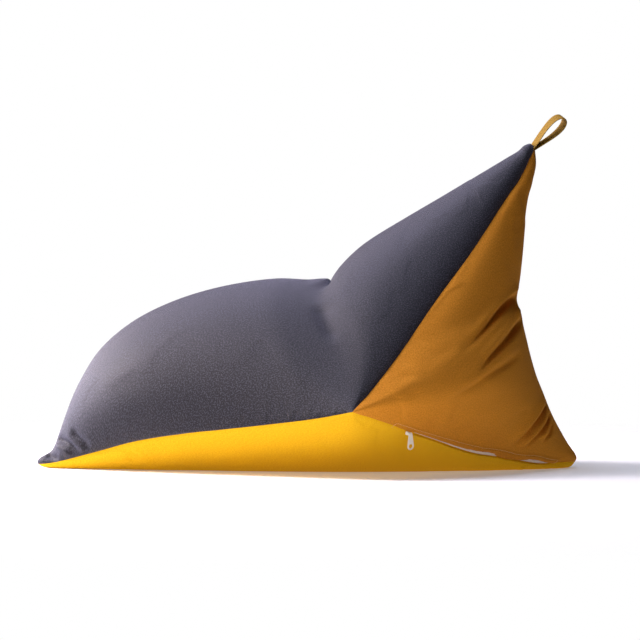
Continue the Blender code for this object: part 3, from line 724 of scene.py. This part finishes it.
# Melange jersey: dyed and undyed fibres spun together, knitted and lightly brushed, so the colour
# is flecked and the nap lights up at a grazing angle. The wales are about 1 mm apart and the
# flecks 1 by 3 mm: both are drawn about twice as coarse so that they show.
fleckSize = (2.3 * mm, 2.9 * mm)
waleWidth = 2.2 * mm
clothLooks = {
    "charcoal": {"dark": "#020203", "light": "#3e3b47", "warm": "#161419", "fleck": (0.48, 0.68),
                 "mottle": 0.03, "sheen": 0.29, "tint": "#d0d4fb", "sheenRoughness": 0.5,
                 "roughness": 0.60, "gloss": 0.30, "relief": 0.95},
    "yellow": {"dark": "#e2a913", "light": "#efbe1e", "warm": "#e5ad15", "fleck": (0.30, 0.70),
               "mottle": 0.01, "sheen": 0.0, "tint": "#fff0c0", "sheenRoughness": 0.5,
               "roughness": 0.88, "gloss": 0.12, "relief": 0.12},
    "mustard": {"dark": "#b9761b", "light": "#d38b2b", "warm": "#c07b1f", "fleck": (0.28, 0.72),
                "mottle": 0.04, "sheen": 0.0, "tint": "#f0c080", "sheenRoughness": 0.5,
                "roughness": 0.88, "gloss": 0.12, "relief": 0.16},
}


def melangeJersey(name, looks):
    # Colour: fleck noise picks dark or light yarn, and wide patches tend to the warm tone. Height:
    # the flecks and the wales added. Cloth coordinates are the panel's own, in metres.
    made, tree, shader = startMaterial(
        name, Roughness=looks["roughness"], Sheen_Weight=looks["sheen"],
        Sheen_Roughness=looks["sheenRoughness"], Sheen_Tint=linear(looks["tint"]), IOR=1.5,
        Specular_IOR_Level=looks["gloss"])
    uv = addNode(tree, "UVMap", uv_map="cloth").outputs[0]
    flecked = addNode(tree, "Mapping", {"Vector": uv, "Scale": (1 / fleckSize[0], 1 / fleckSize[1], 1)})
    fleck = addNode(tree, "TexNoise", {
        "Vector": flecked.outputs[0], "Scale": 1.0, "Detail": 1.0, "Roughness": 0.5}, noise_dimensions="2D")
    spread = addNode(tree, "MapRange", {
        "Value": fleck.outputs["Fac"], "From Min": looks["fleck"][0], "From Max": looks["fleck"][1]})
    yarn = addNode(tree, "Mix", {
        0: spread.outputs[0], 6: linear(looks["dark"]), 7: linear(looks["light"])}, data_type="RGBA")
    patches = addNode(tree, "TexNoise", {
        "Vector": uv, "Scale": 22.0, "Detail": 2.0, "Roughness": 0.5}, noise_dimensions="2D")
    patch = addNode(tree, "MapRange", {
        "Value": patches.outputs["Fac"], "From Min": 0.35, "From Max": 0.65, "To Max": looks["mottle"] * 3})
    cloth = addNode(tree, "Mix", {
        0: patch.outputs[0], 6: yarn.outputs[2], 7: linear(looks["warm"])}, data_type="RGBA")
    tree.links.new(cloth.outputs[2], shader.inputs["Base Color"])
    # wales: bands across the panel, their wave bent by the flecks so that no row is ruled
    wales = addNode(tree, "TexWave", {
        "Vector": uv, "Scale": 2 * math.pi / 20 / waleWidth, "Distortion": 2.0, "Detail": 1.0,
        "Detail Scale": 1.5}, wave_type="BANDS", bands_direction="X", wave_profile="SIN")
    relief = addNode(tree, "Math", {0: fleck.outputs["Fac"], 1: wales.outputs["Fac"]}, operation="ADD")
    bump = addNode(tree, "Bump", {
        "Height": relief.outputs[0], "Strength": looks["relief"], "Distance": 0.4 * mm})
    tree.links.new(bump.outputs[0], shader.inputs["Normal"])
    return made


def wovenTape(name, dark, light, rib, strength, sheen=0.2, gloss=0.3, speckle=1.0):
    # Woven polyester tape: flat ribs of filament yarn across the run, a slight silk in the light.
    # Colour: the product of two sets of bands, plus a fine speckle. Height: the bands alone.
    made, tree, shader = startMaterial(
        name, Roughness=0.72, Sheen_Weight=sheen, Sheen_Roughness=0.4, IOR=1.5, Specular_IOR_Level=gloss)
    uv = addNode(tree, "UVMap", uv_map="cloth").outputs[0]
    bands = [
        addNode(tree, "TexWave", {
            "Vector": uv, "Scale": 2 * math.pi / 20 / wide, "Distortion": 0.6, "Detail": 1.0,
        }, wave_type="BANDS", bands_direction=way, wave_profile="SIN").outputs["Fac"]
        for way, wide in (("Y", rib), ("X", 0.7 * rib))]
    weave = addNode(tree, "Math", {0: bands[0], 1: bands[1]}, operation="MULTIPLY")
    flecks = addNode(tree, "TexNoise", {"Vector": uv, "Scale": 420.0, "Detail": 2.0}, noise_dimensions="2D")
    speck = addNode(tree, "MapRange", {
        "Value": flecks.outputs["Fac"], "To Min": 0.5 - 0.5 * speckle, "To Max": 0.5 + 0.5 * speckle})
    tone = addNode(tree, "Math", {0: weave.outputs[0], 1: speck.outputs[0]}, operation="ADD")
    half = addNode(tree, "Math", {0: tone.outputs[0], 1: 0.62}, operation="MULTIPLY")
    colour = addNode(tree, "Mix", {0: half.outputs[0], 6: linear(dark), 7: linear(light)}, data_type="RGBA")
    tree.links.new(colour.outputs[2], shader.inputs["Base Color"])
    bump = addNode(tree, "Bump", {"Height": weave.outputs[0], "Strength": strength, "Distance": 0.3 * mm})
    tree.links.new(bump.outputs[0], shader.inputs["Normal"])
    return made


def fineGrain(tree, shader, scale, detail, dark, light):
    # Colour: a noise on the object's own coordinates, from the dark to the light tone.
    place = addNode(tree, "TexCoord").outputs["Object"]
    noise = addNode(tree, "TexNoise", {"Vector": place, "Scale": scale, "Detail": detail}).outputs["Fac"]
    tone = addNode(tree, "Mix", {0: noise, 6: linear(dark), 7: linear(light)}, data_type="RGBA")
    tree.links.new(tone.outputs[2], shader.inputs["Base Color"])
    return place, noise


def sewingThread(name, dark, light):
    # Spun polyester thread: matt, a little lighter than the cloth, its twist a fine noise.
    made, tree, shader = startMaterial(name, Roughness=0.7, Sheen_Weight=0.2, IOR=1.5)
    fineGrain(tree, shader, 1500.0, 1.0, dark, light)
    return made


def creamLacquer(name):
    # Die-cast zinc under baked cream lacquer: smooth, semi-gloss, its colour and height uneven by
    # the same fine noise of the casting.
    made, tree, shader = startMaterial(
        name, Roughness=0.34, IOR=1.5, Coat_Weight=0.3, Coat_Roughness=0.2, Metallic=0.0)
    _, casting = fineGrain(tree, shader, 420.0, 3.0, "#f3ead6", "#fbf6ea")
    bump = addNode(tree, "Bump", {"Height": casting, "Strength": 0.15, "Distance": 0.1 * mm})
    tree.links.new(bump.outputs[0], shader.inputs["Normal"])
    return made


lapThread = sewingThread("mustardThread", "#e0ab68", "#f7d8a8")
baseThread = sewingThread("yellowThread", "#d8a018", "#f0c040")
lacquer = creamLacquer("creamLacqueredZinc")

print("making the cloth pieces")
panelLooks = {
    "top": ("charcoal", 0.9),
    "rear": ("mustard", 0.85),
    "base": ("yellow", 0.9),
}
for name, (colour, fill) in panelLooks.items():
    finish = melangeJersey(colour + "MelangeJersey", clothLooks[colour])
    piece = addPiece(
        name + "Cloth", panelMesh(name, grids[name]), finish, [name + "_panel"])


def alongSeam(points, normal, start, end, count):
    # A line beside the near rear seam, evenly spaced between two shares of it, with its normals.
    inside = (seamShare >= start) & (seamShare <= end)
    gone = runLength(points[inside])
    wanted = np.linspace(0, gone[-1], count)
    line, up = (sampled(rows[inside], gone, wanted) for rows in (points, normal))
    return line, unit(up), wanted


def beadRow(centre, axes, local):
    # The same closed bead at each centre: local is rows by corners by 3, measured along three axes.
    rows, corners = local.shape[:2]
    flat = local.reshape(-1, 3)
    points = centre[:, None] + sum(flat[None, :, k:k + 1] * axis[:, None] for k, axis in enumerate(axes))
    quads = gridQuads(rows, corners, wrap=True)
    ends = np.stack([np.arange(corners), np.arange(rows * corners)[:-corners - 1:-1]])
    first = len(flat) * np.arange(len(centre))[:, None, None]
    faces = (quads + first).reshape(-1, 4).tolist() + (ends + first).reshape(-1, corners).tolist()
    return points.reshape(-1, 3), faces


# Stitches: each a bead of thread along its line, sunk into the cloth at both ends
stitch = {
    "pitch": 3.6 * mm, "shortPitch": 2.8 * mm, "length": 2.8 * mm, "thick": 0.8 * mm, "proud": 0.35 * mm,
}


def stitchRun(name, line, up, finish, pitch=stitch["pitch"]):
    # Radius r sqrt(1 - t^4), flattened to 0.8, with its middle line proud by 1 - 2 t^2.
    gone = runLength(line)
    count = max(int(gone[-1] / pitch), 1)
    middle = (np.arange(count) + 0.5) * gone[-1] / count
    run = unit(sampled(line, gone, middle + 0.4 * pitch) - sampled(line, gone, middle - 0.4 * pitch))
    side = unit(np.cross(unit(sampled(up, gone, middle)), run))
    t, turn = np.linspace(-1, 1, 7)[:, None], fullTurn(6)[None, :]
    radius = stitch["thick"] / 2 * np.sqrt(np.maximum(1 - t ** 4, 0.04))
    local = np.stack([
        t * stitch["length"] / 2 + 0 * turn, radius * np.cos(turn),
        radius * np.sin(turn) * 0.8 + stitch["proud"] * (1 - 2 * t * t)], -1)
    points, faces = beadRow(sampled(line, gone, middle), (run, side, np.cross(run, side)), local)
    return addPiece(name, finishMesh(name, points, faces), finish)


def tapePlace(share):
    # Across the tape: from the bed under the lap over the seam to the base, bowed out by 4 u (1 - u)
    # and hidden under the lap where the lap hangs over the seam.
    top, bottom = zipper["tape"]
    top = np.minimum(-top, lapWidth - zipper["stitchIn"] - zipper["tapeInset"])
    bottom = np.interp(lapEdge, zipper["tuckedFrom"], (bottom, zipper["tapeTucked"]))
    upper = atReach(bed, bedField, top[:, None])[:, 0]
    lower = bed[:, 0] + downBase * bottom[:, None]
    lift = zipper["tapeLift"] + zipper["tapeBulge"] * 4 * share * (1 - share)
    return upper * (1 - share) + lower * share + lapOut * lift


print("making the zip")
# Tape: a flat woven strip with rolled edges; its face carries the closed coil
tapeSection = [
    (0, 0), (0.35, 0), (0.7, 0), (1, 0), (1.02, 0.5), (1, 1), (0.7, 1), (0.35, 1), (0, 1), (-0.02, 0.5)]
tapeSpan = (zipper["start"] - 0.004, zipper["end"] + 0.004)
tapeWidth = zipper["tape"][1] - zipper["tape"][0]
rings, tapeUv = [], []
for across, out in tapeSection:
    row = tapePlace(across) + lapOut * out * zipper["tapeThick"] * 0.6
    line, _, gone = alongSeam(row, lapOut, *tapeSpan, 180)
    rings.append(line)
    tapeUv.append(np.stack([np.full_like(gone, across * tapeWidth), gone], -1))
tapeWeave = wovenTape("paleZipTape", "#cbbaad", "#f0e4d8", 0.9 * mm, 0.3, speckle=0.4)
addPiece("zipTape", tubeMesh("zipTape", np.stack(rings, 1), np.stack(tapeUv, 1), 70), tapeWeave,
         ["zip_tape"])

# Coil: closed teeth, each a bead across the tape, radius r sqrt(1 - t^4)
toothPitch, toothLength, toothRadius = zipper["tooth"]
row = tapePlace(0.5) + lapOut * 0.75 * mm
acrossTape = unit(tapePlace(0.8) - tapePlace(0.2))
toothCount = int(runLength(row)[-1] * 0.69 / toothPitch)  # the zip is 0.69 of the seam
line, up, _ = alongSeam(row, lapOut, zipper["start"], zipper["end"], toothCount)
_, across, _ = alongSeam(row, acrossTape, zipper["start"], zipper["end"], toothCount)
t, turn = np.linspace(-1, 1, 6)[:, None], fullTurn(8)[None, :]
girth = np.sqrt(np.maximum(1 - t ** 4, 0.05)) * toothRadius
local = np.stack([t * toothLength / 2 + 0 * turn, girth * np.cos(turn), girth * np.sin(turn)], -1)
points, faces = beadRow(line, (across, unit(np.gradient(line, axis=0)), up), local)
coilUv = np.tile(local.reshape(-1, 3)[:, :2], (len(line), 1))
coilPlastic = wovenTape("paleZipCoil", "#d6c8bc", "#f4eae0", 0.9 * mm, 0.1, speckle=0.4)
addPiece("zipCoil", finishMesh("zipCoil", points, faces, coilUv), coilPlastic)

# The slider, measured in its own frame: X along the zip to the rear, Y up from the seam, Z out
slider = {
    "length": 12 * mm, "width": 8.6 * mm, "height": 3.0 * mm, "topEdge": 0.6 * mm, "seat": 1.6 * mm,
    "bridgeAt": 4.4 * mm, "bridgeWidth": 2.2 * mm, "bridgeGap": 2.6 * mm, "bridgeThick": 1.4 * mm,
    "bridgeRoot": 0.6 * mm,  # how deep its posts stand in the body
    "waist": 0.12,  # how much the shield narrows at its middle
    "squareness": 0.6, "archSquareness": 0.45,
    # size of the outline and height of the body, from its underside over the rolled edges to its top
    "edgeRoll": [
        (0.25, 0.0), (0.84, 0.0), (0.95, 0.05), (1.0, 0.18), (1.0, 0.40), (0.93, 0.46), (0.93, 0.56),
        (1.0, 0.62), (1.0, 0.84), (0.95, 0.96), (0.84, 1.0), (0.55, 1.05), (0.25, 1.07)],
}


def sliderFrame():  # the frame's axes: along the seam, square to it and out of the bag
    points, out = seamWall("rear", np.array([zipper["sliderAt"], zipper["sliderAt"] - 0.02]), -1)
    along = Vector(points[1] - points[0]).normalized()
    upward = Vector(out[0]).cross(along).normalized()
    place = Matrix((along, upward, along.cross(upward))).transposed().to_4x4()
    place.translation = Vector(points[0])
    return place


def placed(points, matrix):  # points turned and moved by a 4 by 4 matrix
    turn = np.array(matrix)[:3]
    return np.asarray(points) @ turn[:, :3].T + turn[:, 3]


def joinMeshes(name, meshes, angle=50):  # several closed shells as one mesh
    shape = bmesh.new()
    for part in meshes:
        shape.from_mesh(part)
        bpy.data.meshes.remove(part)
    mesh = bpy.data.meshes.new(name)
    shape.to_mesh(mesh)
    shape.free()
    return smoothShaded(mesh, angle)


# Body: a rounded shield, its outline a superellipse pinched at the waist, its edge rolled
place = sliderFrame()
middleY = -slider["topEdge"] - slider["width"] / 2
turn = fullTurn(48)
outlineX = slider["length"] / 2 * powered(np.cos(turn), slider["squareness"])
outlineY = slider["width"] / 2 * powered(np.sin(turn), slider["squareness"])
outlineY = outlineY * (1 - slider["waist"] * (np.cos(2 * turn + math.pi) + 0.5))
bodyRings = np.stack([
    np.stack([outlineX * size, middleY + outlineY * size,
              np.full_like(turn, slider["seat"] + slider["height"] * level)], -1)
    for size, level in slider["edgeRoll"]])
# Bridge: a round-edged strip carried along an arch of two posts
high = slider["seat"] + slider["height"]
root = slider["bridgeRoot"]
t = np.linspace(0, math.pi, 41)
archX = -slider["bridgeAt"] * powered(np.cos(t), slider["archSquareness"])
archRise = slider["bridgeGap"] + root + slider["bridgeThick"] / 2
archZ = archRise * powered(np.sin(t), slider["archSquareness"])
path = evenLine(np.stack([archX, np.full_like(t, middleY), archZ + high - root], 1), 41)
bridgeSide = np.array([0.0, 1.0, 0.0])
bridgeUp = np.cross(unit(np.gradient(path, axis=0)), bridgeSide)
ring = fullTurn(16)
halfWide = slider["bridgeWidth"] / 2 * powered(np.cos(ring), slider["squareness"])
halfThick = slider["bridgeThick"] / 2 * powered(np.sin(ring), slider["squareness"])
bridgeRings = (path[:, None] + halfWide[None, :, None] * bridgeSide
               + halfThick[None, :, None] * bridgeUp[:, None])
sliderMesh = joinMeshes("zipSlider", [
    tubeMesh("sliderBody", placed(bodyRings, place)), tubeMesh("sliderBridge", placed(bridgeRings, place))])
addPiece("zipSlider", sliderMesh, lacquer, ["zip_slider"])

# The pull: a thin web between rims, with an eye round the bridge and a hole at its wide end
pull = {
    "length": 36 * mm, "thick": 1.4 * mm, "neck": 4.2 * mm, "end": 7.6 * mm, "eye": 1.8 * mm,
    "hole": 4.3 * mm, "lean": math.radians(9), "rim": 1.1 * mm, "rimRoll": 0.35 * mm,
    "web": 0.9 * mm, "webRoll": 0.2 * mm, "webIn": 0.3 * mm,
}


def arc(x, radius, turn=fullTurn(40)):  # round a point of the tab's middle line, over these angles
    return np.stack([x + radius * np.cos(turn), radius * np.sin(turn)], 1)


def tabOutline(neck, end, reach, count=24):  # two round ends and the straight edges that touch both
    slope = math.asin((end - neck) / reach)
    small = np.linspace(math.pi / 2 + slope, 3 * math.pi / 2 - slope, count)
    large = np.linspace(-math.pi / 2 - slope, math.pi / 2 + slope, count)
    return np.vstack([arc(0, neck, small), arc(reach, end, large)])


def plateMesh(name, outlines, thick, roll, matrix):
    # A flat plate with holes: closed outlines filled, given their thickness and a rolled edge.
    shape = bpy.data.curves.new(name, "CURVE")
    shape.dimensions = "2D"
    shape.fill_mode = "BOTH"
    shape.extrude = thick / 2 - roll
    shape.bevel_depth = roll
    shape.bevel_resolution = 2
    shape.offset = -roll
    for outline in outlines:
        spline = shape.splines.new("POLY")
        spline.points.add(len(outline) - 1)
        flat = np.hstack([outline, np.zeros((len(outline), 1)), np.ones((len(outline), 1))])
        spline.points.foreach_set("co", flat.ravel())
        spline.use_cyclic_u = True
    carrier = intoScene(name, shape)
    made = bpy.data.meshes.new_from_object(carrier.evaluated_get(bpy.context.evaluated_depsgraph_get()))
    bpy.data.objects.remove(carrier, do_unlink=True)
    turnOutwards(made, weld=0.002 * mm).transform(matrix)
    return made


downward = place.to_3x3().inverted() @ Vector((0, 0, -1))
hang = math.atan2(downward.y, downward.x) + pull["lean"]
post = Vector((slider["bridgeAt"], middleY, high + slider["bridgeGap"] / 2))
pullPlace = place @ Matrix.Translation(post) @ Matrix.Rotation(hang, 4, "Z")
neck, end, eye, hole, rim = (pull[key] for key in ("neck", "end", "eye", "hole", "rim"))
reach = pull["length"] - neck - end
inset = pull["webIn"]
webOutlines = [
    tabOutline(neck - inset, end - inset, reach), arc(0, eye + inset), arc(reach, hole + inset)]
plates = [plateMesh("pullWeb", webOutlines, pull["web"], pull["webRoll"], pullPlace)]
for label, outlines, share in (
        ("pullRim", [tabOutline(neck, end, reach), tabOutline(neck - rim, end - rim, reach)], 1.0),
        ("pullEyeRim", [arc(0, neck - 0.2 * mm), arc(0, eye)], 0.98),
        ("pullHoleRim", [arc(reach, hole + rim), arc(reach, hole)], 0.98)):
    plates.append(plateMesh(label, outlines, pull["thick"] * share, pull["rimRoll"], pullPlace))
addPiece("zipPull", joinMeshes("zipPull", plates), lacquer, ["zip_pull"])

print("sewing the lap")
# Shares of the seam where the lap's row ends and where a bar of stitches crosses the seam, with
# how far each bar reaches up on the lap and down on the base
lapRow = (0.112, 0.823)
bars = (("Front", 0.823, 10 * mm, 6 * mm), ("Rear", 0.108, 12 * mm, 3 * mm))
baseRow = (0.795, 0.823, 6.5 * mm)  # and how far under the seam it lies
lapNear = turnRear(grids["rear"]["points"])


def crossSeam(share, rise, drop):
    # A stitched line over the seam, from rise above it on the lap to drop below it on the base.
    k = int(np.argmin(np.abs(seamShare - share)))
    near = slice(k, k + 1)
    upper, lower = np.linspace(rise, 1.0 * mm, 8)[None, :], np.linspace(1.0 * mm, drop, 5)[None, :]
    line, up = (
        np.vstack([atReach(onLap[near], bedField[near], upper)[0],
                   atReach(onBase[near], baseField[near], lower)[0]])
        for onLap, onBase in ((lapNear, baseNear), (rearNormal, baseNormal)))
    return line, unit(up)


stitchReach = (lapWidth - zipper["stitchIn"])[:, None]
line, up, _ = alongSeam(atReach(lapNear, bedField, stitchReach)[:, 0],
                        atReach(rearNormal, bedField, stitchReach)[:, 0], *lapRow, 400)
stitchRun("lapStitches", line, up, lapThread)
for label, share, rise, drop in bars:
    line, up = crossSeam(share, rise, drop)
    stitchRun("zip" + label + "Stitches", line, up, lapThread, stitch["shortPitch"])
below = np.full((len(seamShare), 1), baseRow[2])
line, up, _ = alongSeam(atReach(baseNear, baseField, below)[:, 0],
                        atReach(baseNormal, baseField, below)[:, 0], *baseRow[:2], 20)
stitchRun("baseStitches", line, up, baseThread)

print("making the strap loop")
loop = {
    "corner": (0.465, 0.0, 0.654), "length": 0.0905, "spread": 0.0183, "angle": math.radians(45),
    "lean": 2.4 * mm,  # the whole drop's offset across its lean
    "root": 0.66, "seat": -6.5 * mm, "raise": 3.0 * mm,  # its two ends meet in the corner's seam
    "width": 20 * mm, "thick": 2 * mm, "skew": 0.30, "twist": 0.14, "steps": 150,
    "selvedge": (0.80, 0.05, 0.16),  # a groove beside each edge: where, half width, depth
    "wave": (0.25 * mm, 11 * mm),  # how high it is, and its length over 2 pi
}


def strapRings():
    # Path: a drop, length (1 - cos t) / 2 along the lean and spread sin t times that across it.
    # Section: flat with round edges, height sqrt(1 - s^14), less a bell for each selvedge groove.
    lean = np.array([math.cos(loop["angle"]), 0.0, math.sin(loop["angle"])])
    square = np.array([-math.sin(loop["angle"]), 0.0, math.cos(loop["angle"])])
    t = np.linspace(loop["root"], 2 * math.pi - loop["root"], loop["steps"])
    drop = (1 - np.cos(t)) / 2
    out = loop["length"] / (1 - drop[0]) * (drop - drop[0]) + loop["seat"]
    wide = (loop["spread"] * np.sin(t) + loop["lean"]) * drop + loop["raise"] * (1 - drop) ** 2
    path = np.array(loop["corner"]) + out[:, None] * lean + wide[:, None] * square
    normal = unit(np.cross(np.gradient(path, axis=0), (0.0, 1.0, 0.0)))
    skew = loop["skew"] + loop["twist"] * drop
    side = np.stack([-skew, np.ones_like(skew), skew], 1) * loop["width"] / 2
    s = np.sin(np.linspace(-math.pi / 2, math.pi / 2, 21))
    where, half, depth = loop["selvedge"]
    face = (1 - np.abs(s) ** 14) ** 0.5 - depth * bell((np.abs(s) - where) / half)
    section = np.r_[np.stack([s, face], 1), np.stack([s[-2:0:-1], -face[-2:0:-1]], 1)]
    gone = runLength(path)
    wave = loop["wave"][0] * np.sin(gone / loop["wave"][1])
    height = section[None, :, 1] * loop["thick"] / 2 + wave[:, None] * section[None, :, 0]
    rings = path[:, None] + section[None, :, :1] * side[:, None] + height[..., None] * normal[:, None]
    uv = np.stack(np.broadcast_arrays(section[:, 0] * loop["width"] / 2, gone[:, None]), -1)
    return rings, uv


rings, uv = strapRings()
strapWeave = wovenTape(
    "ochreWovenStrap", "#7e601c", "#8e6e26", 3.0 * mm, 0.1, sheen=0.0, gloss=0.15, speckle=0.0)
addPiece("strapLoop", tubeMesh("strapLoop", rings, uv, 60), strapWeave, ["handle_loop"])

print("setting the stage")
stage = {"radius": 2.2, "fadeFrom": 0.7, "fadeTo": 2.1, "glow": 0.18}


def paperFloor():
    # A round sheet of paper that fades out into the white surroundings, so it has no horizon. It also glows
    # evenly: painted light that lights the bag from below.
    turn = fullTurn(96)
    points = np.stack([stage["radius"] * np.cos(turn), stage["radius"] * np.sin(turn), 0 * turn], 1)
    mesh = bpy.data.meshes.new("paperFloor")
    mesh.from_pydata(points.tolist(), [], [list(range(len(turn)))])
    # The emission is painted light: an even glow over the paper that brightens the floor and lights the bag's
    # underside and near sides.
    paper, tree, shader = startMaterial(
        "whitePaper", Roughness=0.9, IOR=1.4,
        Emission_Color=linear("#ffffff"), Emission_Strength=stage["glow"])
    place, _ = fineGrain(tree, shader, 3.0, 2.0, "#f3f3f3", "#f6f6f6")
    away = addNode(tree, "VectorMath", {0: place}, operation="LENGTH")
    fade = addNode(tree, "MapRange", {
        "Value": away.outputs["Value"], "From Min": stage["fadeFrom"], "From Max": stage["fadeTo"],
        "To Min": 1.0, "To Max": 0.0}, interpolation_type="SMOOTHSTEP")
    tree.links.new(fade.outputs[0], shader.inputs["Alpha"])
    mesh.materials.append(paper)
    floor = intoScene("paperFloor", mesh)


paperFloor()


def turnTowards(thing, position, aim):  # put it at the position, its -Z axis on the aim and Y up
    thing.location = position
    thing.rotation_euler = (Vector(aim) - Vector(position)).to_track_quat("-Z", "Y").to_euler()


# Soft light from the toe's side, from above it and from low behind it, bluish from the top, and a
# weak warm fill from the camera's side: position, aim, size, watts, colour
seat, whole = (-0.3, 0.0, 0.28), (-0.05, 0.0, 0.28)
lamps = {
    "keyLamp": ((-1.5, 0.1, 2.1), seat, (1.0, 1.0), 64, (1.0, 0.89, 0.93)),
    "toeLamp": ((-2.1, 0.85, 1.0), seat, (1.1, 1.0), 122, (1.0, 0.89, 0.92)),
    "topLamp": ((-0.4, 0.1, 3.2), whole, (1.8, 1.8), 74, (0.77, 0.80, 1.0)),
    "fillLamp": ((-1.6, -4.1, 1.3), whole, (1.8, 1.4), 27, (1.0, 0.90, 0.84)),
}
for name, (position, aim, size, watts, colour) in lamps.items():
    lamp = bpy.data.lights.new(name, "AREA")
    lamp.shape = "RECTANGLE"
    lamp.size, lamp.size_y = size
    lamp.energy = watts
    lamp.color = colour
    carrier = intoScene(name, lamp)
    carrier.visible_camera = False
    turnTowards(carrier, position, aim)

# The surroundings: white to the camera, and almost no light of their own
world = bpy.data.worlds.new("studio")
bpy.context.scene.world = world
world.use_nodes = True
tree = world.node_tree
background = tree.nodes["Background"]
ray = addNode(tree, "LightPath")
level = addNode(tree, "MapRange", {
    "Value": ray.outputs["Is Camera Ray"], "To Min": 0.03, "To Max": 1.0})
tree.links.new(level.outputs[0], background.inputs["Strength"])
background.inputs["Color"].default_value = (1.0, 1.0, 1.0, 1.0)
bpy.context.scene.view_settings.view_transform = "Standard"

view = {"lens": 165.3, "sensor": 36.0, "aim": (0.0265, 0.0, 0.3022), "away": 6.0, "tilt": math.radians(0.8)}
camera = bpy.data.cameras.new("camera")
camera.lens = view["lens"]
camera.sensor_width = view["sensor"]
eyePoint = intoScene("camera", camera)
lineOfSight = Vector((0, -math.cos(view["tilt"]), math.sin(view["tilt"])))
turnTowards(eyePoint, Vector(view["aim"]) + view["away"] * lineOfSight, view["aim"])
bpy.context.scene.camera = eyePoint

print("done")
